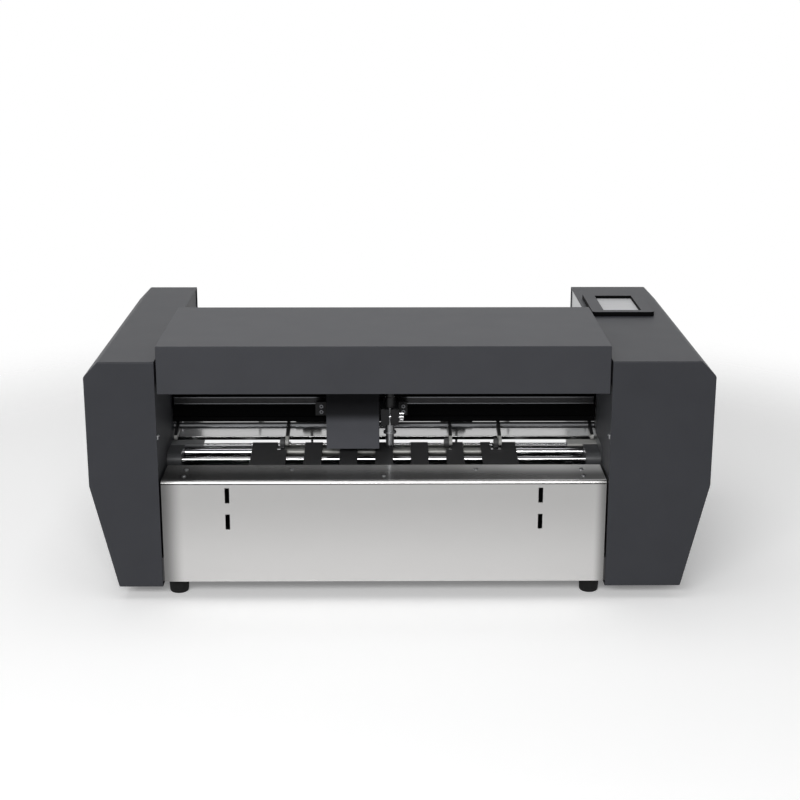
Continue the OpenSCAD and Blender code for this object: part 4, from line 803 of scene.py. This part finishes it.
class LABELCUTTER_OT_tool(bpy.types.Operator):
    """Builds the tool: its clamp and screw, the guide pin, the blade holder and the blade"""

    bl_idname = "labelcutter.tool"
    bl_label = "Tool"

    def execute(self, context):
        plain("polished_steel", "tool_guide_pin", edge=0.4 * MM)
        plain("polished_steel", "blade", edge=0.05 * MM)
        plain("black_anodised", "tool_clamp", edge=0.4 * MM)
        self.clamp_screw()
        clamp_top = box("tool_clamp").high.z
        pen = Shape().cad("blade_holder", "satin_steel", EASED).split(Z, clamp_top)
        pen.paint("black_moulded_plastic", lambda mid, out: mid.z > clamp_top)
        pen.piece("blade_holder")
        return {"FINISHED"}

    def clamp_screw(self):
        """The clamp screw with its knurled, dished knob."""
        screw = box("clamp_screw")
        low, high, ease_by = screw.low.x, screw.high.x, 0.5 * MM
        shank, grip = screw.radii(X)[0], screw.size.y / 2
        under = min(p.x for p in screw.points if screw.reach(p, X) > grip * 0.9)
        ridges, ridge_h, ridge_half = 32, 0.45 * MM, 0.35 * MM
        core = grip - ridge_h
        knob = Shape().turned([
            (low, 0), (low, shank - ease_by / 2), (low + ease_by / 2, shank), (under, shank),
            (under, core - ease_by), (under + ease_by, core), (high - ease_by, core),
            (high, core - ease_by), (high, core * 0.5), (high - ease_by, core * 0.45),
            (high - ease_by, 0)], X, (0, screw.mid.y, screw.mid.z), "polished_steel")
        half = (high - under) / 2 - ease_by
        ridge = Shape().prism([(-ease_by, -ridge_half), (ridge_h, 0), (-ease_by, ridge_half)], Z,
                              -half, half, edge=0)
        knob.spread(ridge, "polished_steel", **in_ring(
            ridges, core, ((under + high) / 2, screw.mid.y, screw.mid.z), X))
        knob.piece("clamp_screw")


def motor(node, rear):
    """A motor: die-cast end caps round a stack of sheets, with screws in its rear's corners."""
    case, cap, inset = box(node), 9 * MM, 5 * MM
    axis = max(rear, ~rear)  # of the two, only the axis itself isn't negative
    near, far = case.low[axis] + cap, case.high[axis] - cap
    form = Shape().cad(node, "die_cast_aluminium", 0.6 * MM).split(axis, near, far)
    form.paint("motor_laminations", lambda mid, out: near < mid[axis] < far)
    start, step, row_step = [0.0] * 3, [0.0] * 3, [0.0] * 3
    start[axis] = case.high[axis] if rear == axis else case.low[axis]
    for way, i in zip((step, row_step), across(axis)):
        start[i] = case.low[i] + inset
        way[i] = case.size[i] - 2 * inset
    form.spread(screw_head(5 * MM, 0.4 * MM, "hex"), "polished_steel", **in_rows(
        2, start, step, 2, row_step, facing=rear, spin=1.0, seed=3))
    form.piece(node)


def pulley(node, axis, drives):
    """A pulley turned between two rims, with a ring of teeth on its seat."""
    whole = box(node)
    radii = whole.radii(axis)
    inner, seat, rim = radii[-3:]
    first, seat_low, *_, seat_high, last = sorted({
        round(p[axis], 5) for p in whole.points if whole.reach(p, axis) > rim - 0.05 * MM})
    core = seat - drives.tooth_height
    rims = [(first, rim), (seat_low, rim), (seat_low, core), (seat_high, core), (seat_high, rim),
            (last, rim)]
    centre = whole.mid.copy()
    centre[axis] = 0.0
    bored = radii[0] > 0.5 * MM and whole.size[axis] < last - first + 0.1 * MM
    if bored:
        profile = [(first, inner), *rims, (last, inner)]
    else:
        low, high = whole.low[axis], whole.high[axis]
        profile = [(low, 0), (low, inner), (first, inner), *rims, (last, inner), (high, inner),
                   (high, 0)]
    profile = [point for i, point in enumerate(profile) if i == 0 or point != profile[i - 1]]
    form = Shape().turned(profile, axis, centre, "die_cast_aluminium", ring=bored)
    height, foot, root = drives.tooth_height, drives.tooth_pitch * 0.27, -0.2 * MM
    tip, half = foot * 0.6, (seat_high - seat_low) / 2
    tooth = Shape().prism([(root, -foot), (height, -tip), (height, tip), (root, foot)], Z,
                          -half, half, edge=0)
    centre[axis] = (seat_low + seat_high) / 2
    count = round(math.tau * seat / drives.tooth_pitch)
    form.spread(tooth, "die_cast_aluminium", **in_ring(count, core, centre, axis))
    form.piece(node)


class LABELCUTTER_OT_carriage_drive(bpy.types.Operator):
    """Builds the carriage's motor, belt, pulleys and idler axle"""

    bl_idname = "labelcutter.carriage_drive"
    bl_label = "Carriage drive"

    def execute(self, context):
        motor("x_motor", Y)
        for node in ("x_drive_pulley", "x_idler_pulley"):
            pulley(node, Y, context.scene.label_cutter.drives)
        plain("polished_steel", "idler_axle", edge=EASED)
        plain("belt_rubber", "x_belt", edge=0.1 * MM)
        return {"FINISHED"}


class LABELCUTTER_OT_shafts(bpy.types.Operator):
    """Builds the gritted drive shaft, the exit shaft, their bearings and their end guards"""

    bl_idname = "labelcutter.shafts"
    bl_label = "Shafts"

    def execute(self, context):
        plates, clear = solids("guide_plates"), 4 * MM
        bands = [(left.high.x - clear, right.low.x + clear)
                 for left, right in zip(plates, plates[1:])]
        shaft = Shape().cad("drive_shaft", "polished_steel", EASED)
        shaft.split(X, *(place for band in bands for place in band))
        shaft.paint("gritted_steel",
                    lambda mid, out: any(low < mid.x < high for low, high in bands))
        shaft.piece("drive_shaft")
        plain("polished_steel", "exit_shaft", edge=EASED)
        bearings = Shape()
        for spot in solids("shaft_bearings"):
            bore, rim, width = spot.radii(X)[0], spot.size.y / 2, spot.size.x
            race, sunk = (rim - bore) * 0.24, 0.35 * MM
            side = [(0, bore), (0, bore + race), (sunk, bore + race), (sunk, rim - race),
                    (0, rim - race), (0, rim)]
            other = [(width - along, radius) for along, radius in reversed(side)]
            bearings.turned(side + other, X, (spot.low.x, spot.mid.y, spot.mid.z),
                            "polished_steel", ring=True)
        bearings.piece("shaft_bearings")
        plain("dark_moulded_plastic", "shaft_end_guards", edge=1.2 * MM)
        return {"FINISHED"}


class LABELCUTTER_OT_feed_drive(bpy.types.Operator):
    """Builds the feed motor, its belt and the three feed pulleys"""

    bl_idname = "labelcutter.feed_drive"
    bl_label = "Feed drive"

    def execute(self, context):
        motor("feed_motor", TO_LEFT)
        for node in ("feed_motor_pulley", "drive_pulley", "exit_pulley"):
            pulley(node, X, context.scene.label_cutter.drives)
        plain("belt_rubber", "feed_belt", edge=0.1 * MM)
        return {"FINISHED"}


class LABELCUTTER_OT_pinch(bpy.types.Operator):
    """Builds the pinch rod, its arms and the four pinch rollers"""

    bl_idname = "labelcutter.pinch"
    bl_label = "Pinch rollers"

    def execute(self, context):
        plain("drawn_steel", "pinch_rod", edge=0.4 * MM)
        half_way = box("pinch_arms").mid.z
        arms = Shape().cad("pinch_arms", "light_moulded_plastic", EASED).split(Z, half_way)
        arms.paint("black_moulded_plastic", lambda mid, out: mid.z > half_way)
        arms.piece("pinch_arms")
        for number in range(1, 5):
            self.roller(f"pinch_roller_{number}")
        return {"FINISHED"}

    def roller(self, node):
        """A pinch roller: a urethane tyre with rounded rims on a moulded hub."""
        wheel, ease_by = box(node), 0.5 * MM
        bore, rim, width = wheel.radii(X)[0], wheel.size.y / 2, wheel.size.x
        hub = bore + (rim - bore) * 0.35
        place = (wheel.low.x, wheel.mid.y, wheel.mid.z)
        form = Shape().turned([(0, bore), (0, hub), (width, hub), (width, bore)], X, place,
                              "black_moulded_plastic", ring=True, edge=0.2 * MM, segments=40)
        side = [(ease_by, hub), (ease_by / 2, rim - ease_by), (ease_by, rim - ease_by / 4),
                (ease_by * 2, rim)]
        other = [(width - along, radius) for along, radius in reversed(side)]
        form.turned(side + other, X, place, "grey_urethane", ring=True, segments=40)
        form.piece(node)


class LABELCUTTER_OT_sheet_path(bpy.types.Operator):
    """Builds the guide plates, the infeed strip, the feed table and the stack stop"""

    bl_idname = "labelcutter.sheet_path"
    bl_label = "Sheet path"

    def execute(self, context):
        plain("satin_black_paint", "guide_plates", edge=EASED)
        strip = box("infeed_strip")
        left, right = strip.low.x + 41 * MM, strip.high.x - 37 * MM
        bar = Shape().cad("infeed_strip", "grey_moulded_plastic", 0.2 * MM).split(X, left, right)
        bar.paint("chrome_plate", lambda mid, out: left < mid.x < right)
        bar.paint("light_moulded_plastic", lambda mid, out: mid.x > right)
        bar.piece("infeed_strip")
        plain("fine_brushed_stainless", "feed_table", fold=0.8 * MM)
        plain("satin_black_paint", "stack_stop", edge=EASED)
        return {"FINISHED"}


class LABELCUTTER_OT_feeder(bpy.types.Operator):
    """Builds the sheet guides, the pick-up shaft with its ribbed rollers and its motor"""

    bl_idname = "labelcutter.feeder"
    bl_label = "Feeder"

    def execute(self, context):
        plain("satin_black_paint", "left_sheet_guide", "right_sheet_guide", edge=0.4 * MM)
        plain("polished_steel", "pickup_shaft", edge=0.4 * MM)
        rollers = Shape()
        hub_wall, inset = 2.5 * MM, 1 * MM
        ribs, rib_h, rib_root, rib_half, shoulder = 36, 1.2 * MM, 0.4 * MM, 1.1 * MM, 0.8 * MM
        outline = [(-rib_root, -rib_half), (shoulder, -shoulder), (rib_h, 0),
                   (shoulder, shoulder), (-rib_root, rib_half)]
        for wheel in solids("pickup_rollers"):
            bore, rim, half = wheel.radii(X)[0], wheel.size.y / 2, wheel.size.x / 2
            hub, core, tyre = bore + hub_wall, rim - rib_h, half - inset
            rollers.turned([(-half, bore), (-half, hub), (half, hub), (half, bore)], X, wheel.mid,
                           "black_moulded_plastic", ring=True, edge=EASED)
            rollers.turned([(-tyre, hub), (-tyre, core), (tyre, core), (tyre, hub)], X, wheel.mid,
                           "black_rubber", ring=True)
            rib = Shape().prism(outline, Z, -tyre, tyre, edge=0)
            rollers.spread(rib, "black_rubber", **in_ring(ribs, core, wheel.mid, X))
        rollers.piece("pickup_rollers")
        motor("pickup_motor", X)
        return {"FINISHED"}


class LABELCUTTER_OT_connections(bpy.types.Operator):
    """Builds the mains inlet with its switch and the data port"""

    bl_idname = "labelcutter.connections"
    bl_label = "Connections"

    def execute(self, context):
        inlet, rocker = box("power_inlet"), box("switch_rocker")
        moulding = Shape().cad("power_inlet", "black_moulded_plastic", 0.4 * MM)
        # The socket lies 1 mm further under the inlet's middle than the rocker lies over it
        socket_z = inlet.low.z + inlet.high.z - rocker.mid.z - 1 * MM
        pin_x, pin_z, root, sunk = 1 * MM, 2 * MM, 2 * MM, 5 * MM
        for aside, rise in ((-7 * MM, -2 * MM), (7 * MM, -2 * MM), (0, 3 * MM)):
            pin = Vector((inlet.mid.x + aside, 0, socket_z + rise))
            moulding.block((pin.x - pin_x, inlet.low.y + root, pin.z - pin_z),
                           (pin.x + pin_x, inlet.high.y - sunk, pin.z + pin_z),
                           "polished_steel", 0.4 * MM)
        moulding.piece("power_inlet")
        plain("black_moulded_plastic", "switch_rocker", edge=0.7 * MM)
        port = box("usb_port")
        side, tongue = 3 * MM, 1.6 * MM
        shell = Shape().cad("usb_port", "tinned_copper", 0.2 * MM)
        shell.block((port.low.x + side, port.low.y + 0.5 * MM, port.mid.z - tongue),
                    (port.high.x - side, port.high.y - 2 * MM, port.mid.z + tongue),
                    "white_moulded_plastic")
        shell.piece("usb_port")
        return {"FINISHED"}


class LABELCUTTER_OT_screen(bpy.types.Operator):
    """Builds the screen housing and the display"""

    bl_idname = "labelcutter.screen"
    bl_label = "Screen"

    def execute(self, context):
        top = box("screen_housing").high.z - 0.05 * MM
        housing = Shape().cad("screen_housing", "matt_black_paint", 0.5 * MM)
        housing.paint("charcoal_powder_coat", lambda mid, out: mid.z > top)
        housing.piece("screen_housing")
        plain("screen_glass", "display", edge=0.4 * MM)
        return {"FINISHED"}


class LABELCUTTER_OT_electronics(bpy.types.Operator):
    """Builds the control board and the power supply"""

    bl_idname = "labelcutter.electronics"
    bl_label = "Electronics"

    def execute(self, context):
        self.board()
        self.supply()
        return {"FINISHED"}

    def board(self):
        """The control board, with rows of small chips and a double row of pins."""
        whole = box("control_board")
        sheet = Box([p for p in whole.points if p.y < whole.low.y + 0.01 * MM])
        face, back, proud = sheet.high.x, sheet.low.x, 0.1 * MM
        board = Shape().cad("control_board", "green_solder_mask", 0.15 * MM)
        board.paint("tinned_copper", lambda mid, out: mid.x < back - proud)
        board.paint("chip_epoxy", lambda mid, out: mid.x > face + proud)
        board.paint("die_cast_aluminium", lambda mid, out: mid.x > whole.high.x - proud)
        chip_x, chip_y, chip_h = 1 * MM, 0.6 * MM, 0.7 * MM
        chip = Shape().block((-chip_x, -chip_y, 0), (chip_x, chip_y, chip_h), edge=0.1 * MM)
        board.spread(chip, "chip_epoxy", **in_rows(
            12, (face, whole.low.y + 12 * MM, whole.high.z - 30 * MM), (0, 6 * MM, 0),
            4, (0, 0, 5 * MM), facing=X))
        pin_half, pin_h, pitch = 0.3 * MM, 6 * MM, 2.54 * MM
        pin = Shape().block((-pin_half, -pin_half, 0), (pin_half, pin_half, pin_h),
                            edge=0.05 * MM)
        board.spread(pin, "tinned_copper", **in_rows(
            20, (face, whole.low.y + 20 * MM, whole.low.z + 8 * MM), (0, pitch, 0),
            2, (0, 0, pitch), facing=X))
        board.piece("control_board")

    def supply(self):
        """The power supply, with a field of round holes in its left side."""
        case = box("power_supply")
        hole_r, out, deep, margin, pitch = 1.5 * MM, 0.3 * MM, 0.6 * MM, 20 * MM, 6 * MM
        hole = Shape().turned([(-out, 0), (-out, hole_r), (deep, hole_r), (deep, 0)], segments=8)
        holes = Shape().spread(hole, "zinc_sheet", **in_rows(
            int((case.size.y - 2 * margin) / pitch),
            (case.low.x, case.low.y + margin, case.low.z + margin), (0, pitch, 0),
            int((case.size.z - 2 * margin) / pitch), (0, 0, pitch), facing=X))
        Shape().cad("power_supply", "zinc_sheet", 0.6 * MM).cut(holes).piece("power_supply")


class LABELCUTTER_OT_screws(bpy.types.Operator):
    """Builds the pan-head screws of the deck and the throat panels"""

    bl_idname = "labelcutter.screws"
    bl_label = "Screws"

    def execute(self, context):
        screws = Shape()
        middle = box("case_screws").mid.x
        for number, screw in enumerate(solids("case_screws")):
            axis = Z if screw.size.z > screw.size.x else X
            head_high = axis == Z or screw.mid.x < middle
            head_h = 1.6 * MM if axis == Z else 0.9 * MM
            shank = screw.size.y * 0.27
            under = screw.mid.copy()
            under[axis] = screw.high[axis] - head_h if head_high else screw.low[axis] + head_h
            tip = (screw.low if head_high else screw.high)[axis] - under[axis]
            screws.turned([(tip, 0), (tip, shank), (0, shank), (0, 0)], axis, under,
                          "satin_steel", segments=16)
            screws.spread(screw_head(screw.size.y, head_h, "cross"), "satin_steel", **in_rows(
                start=under, facing=axis if head_high else ~axis, spin=math.pi, seed=number))
        screws.piece("case_screws")
        return {"FINISHED"}


class LABELCUTTER_OT_stage(bpy.types.Operator):
    """Adds the floor, the lights and the camera"""

    bl_idname = "labelcutter.stage"
    bl_label = "Stage"

    def execute(self, context):
        scene, stage = context.scene, context.scene.label_cutter.stage
        scene.view_settings.view_transform = "Standard"
        self.floor(scene)
        self.card(scene)
        self.world(scene, stage.fill)
        self.lamps(scene, stage)
        self.camera(scene, stage.lens)
        return {"FINISHED"}

    def sheet(self, scene, name, corners, material):
        """A flat piece of the stage."""
        mesh = bpy.data.meshes.new(name)
        mesh.from_pydata(corners, [], [(0, 1, 2, 3)])
        mesh.materials.append(material)
        made = bpy.data.objects.new(name, mesh)
        scene.collection.objects.link(made)
        return made

    def seen(self, tree):
        """A socket that is 1 for rays that the camera, a mirror or a pane sends out."""
        rays = add(tree, "ShaderNodeLightPath").outputs
        mirrored = add(tree, "ShaderNodeMath", {
            0: rays["Is Glossy Ray"], 1: rays["Is Transmission Ray"]}, operation="MAXIMUM")
        return add(tree, "ShaderNodeMath", {
            0: rays["Is Camera Ray"], 1: mirrored.outputs[0]}, operation="MAXIMUM").outputs[0]

    def floor(self, scene):
        """A pale floor that fades out round the machine and glows a little where it is seen."""
        half, fades_at, gone_at, grey, lift = 1.6, 0.75, 1.3, 0.95, 0.2
        made = bpy.data.materials.new("studio_floor")
        made.use_nodes = True
        tree = made.node_tree
        tree.nodes.clear()
        place = add(tree, "ShaderNodeTexCoord").outputs["Object"]
        reach = add(tree, "ShaderNodeVectorMath", {0: place}, operation="LENGTH").outputs["Value"]
        clear = add(tree, "ShaderNodeMapRange", {
            "Value": reach, "From Min": fades_at, "From Max": gone_at,
        }, interpolation_type="SMOOTHSTEP")
        diffuse = add(tree, "ShaderNodeBsdfDiffuse", {"Color": (grey, grey, grey, 1.0)})
        glow = add(tree, "ShaderNodeMapRange", {"Value": self.seen(tree), "To Max": lift})
        white = add(tree, "ShaderNodeEmission", {"Strength": glow.outputs[0]})
        pale = add(tree, "ShaderNodeAddShader", {0: diffuse.outputs[0], 1: white.outputs[0]})
        none = add(tree, "ShaderNodeBsdfTransparent")
        faded = add(tree, "ShaderNodeMixShader", {
            0: clear.outputs[0], 1: pale.outputs[0], 2: none.outputs[0]})
        add(tree, "ShaderNodeOutputMaterial", {0: faded.outputs[0]})
        self.sheet(scene, "floor", [
            (-half, -half, 0), (half, -half, 0), (half, half, 0), (-half, half, 0)], made)

    def card(self, scene):
        """A dark card behind the camera, for the metal to mirror."""
        dark = bpy.data.materials.new("dark_card")
        dark.use_nodes = True
        shader = dark.node_tree.nodes["Principled BSDF"]
        shader.inputs["Base Color"].default_value = linear("#202020")
        half, behind, height = 3.0, -2.6, 0.8
        card = self.sheet(scene, "dark_card", [
            (-half, behind, 0), (half, behind, 0), (half, behind, height),
            (-half, behind, height)], dark)
        card.visible_camera = False
        card.visible_shadow = False

    def world(self, scene, fill):
        """An even light from all round that looks white where it is seen or mirrored."""
        scene.world = bpy.data.worlds.new("studio")
        scene.world.use_nodes = True
        tree = scene.world.node_tree
        tree.nodes.clear()
        strength = add(tree, "ShaderNodeMapRange", {
            "Value": self.seen(tree), "To Min": fill, "To Max": 1.0})
        sky = add(tree, "ShaderNodeBackground", {
            "Color": (1, 1, 1, 1), "Strength": strength.outputs[0]})
        add(tree, "ShaderNodeOutputWorld", {"Surface": sky.outputs[0]})

    def lamps(self, scene, stage):
        """Three soft lamps round the machine and a small one under the lid."""
        aim = Vector((0.0, -0.1, 0.2))
        throat = Vector((box("infeed_strip").mid.x, -0.095, 0.305))
        for name, place, target, size, energy in (
            ("overhead", (-0.3, -0.1, 2.3), aim, (2.4, 1.8), stage.overhead),
            ("front", (-0.5, -2.55, 1.42), aim, (2.2, 0.5), stage.front),
            ("rear", (0.0, 2.5, 1.9), aim, (2.2, 0.6), stage.rear),
            ("throat", throat, throat - Vector((0, 0, 1)), (0.5, 0.05), stage.throat),
        ):
            light = bpy.data.lights.new(name, "AREA")
            light.shape = "RECTANGLE"
            light.size, light.size_y = size
            light.energy = energy
            lamp = bpy.data.objects.new(name, light)
            lamp.location = place
            lamp.rotation_euler = (target - lamp.location).to_track_quat("-Z", "Y").to_euler()
            lamp.visible_camera = False
            scene.collection.objects.link(lamp)

    def camera(self, scene, lens):
        """The camera, whose place and turn were fitted to the corners of the machine."""
        down, roll, right = 0.2761, -0.0009, 0.0086
        camera = bpy.data.cameras.new("camera")
        camera.lens = lens
        camera.sensor_width = 36.0
        eye = bpy.data.objects.new("camera", camera)
        eye.location = (-0.0157, -1.9454, 0.7410)
        eye.rotation_euler = (QUARTER - down, roll, -right)
        scene.collection.objects.link(eye)
        scene.camera = eye


class LABELCUTTER_PT_panel(bpy.types.Panel):
    """Settings and builders of the label cutting machine"""

    bl_label = "Label cutter"
    bl_idname = "LABELCUTTER_PT_panel"
    bl_space_type = "VIEW_3D"
    bl_region_type = "UI"
    bl_category = "Label cutter"

    def draw(self, context):
        settings = context.scene.label_cutter
        for group in (settings.colours, settings.body, settings.drives, settings.stage):
            for name in group.bl_rna.properties.keys():
                if name not in {"rna_type", "name"}:
                    self.layout.prop(group, name)
        for operator in OPERATORS:
            self.layout.operator(operator.bl_idname)


OPERATORS = (
    LABELCUTTER_OT_covers, LABELCUTTER_OT_chassis, LABELCUTTER_OT_rail, LABELCUTTER_OT_carriage,
    LABELCUTTER_OT_tool, LABELCUTTER_OT_carriage_drive, LABELCUTTER_OT_shafts,
    LABELCUTTER_OT_feed_drive, LABELCUTTER_OT_pinch, LABELCUTTER_OT_sheet_path,
    LABELCUTTER_OT_feeder, LABELCUTTER_OT_connections, LABELCUTTER_OT_screen,
    LABELCUTTER_OT_electronics, LABELCUTTER_OT_screws, LABELCUTTER_OT_stage,
)
CLASSES = (
    LabelCutterColours, LabelCutterBody, LabelCutterDrives, LabelCutterStage, LabelCutter,
    *OPERATORS, LABELCUTTER_PT_panel,
)


def register():
    for cls in CLASSES:
        bpy.utils.register_class(cls)
    bpy.types.Scene.label_cutter = bpy.props.PointerProperty(type=LabelCutter)


def unregister():
    del bpy.types.Scene.label_cutter
    for cls in reversed(CLASSES):
        bpy.utils.unregister_class(cls)


def main():
    register()
    colours = bpy.context.scene.label_cutter.colours
    mix_paints(colours)
    mix_metals()
    mix_plastics(colours)
    rows_tree()
    ring_tree()
    for operator in OPERATORS:
        group, name = operator.bl_idname.split(".")
        getattr(getattr(bpy.ops, group), name)()


if __name__ == "__main__":
    main()
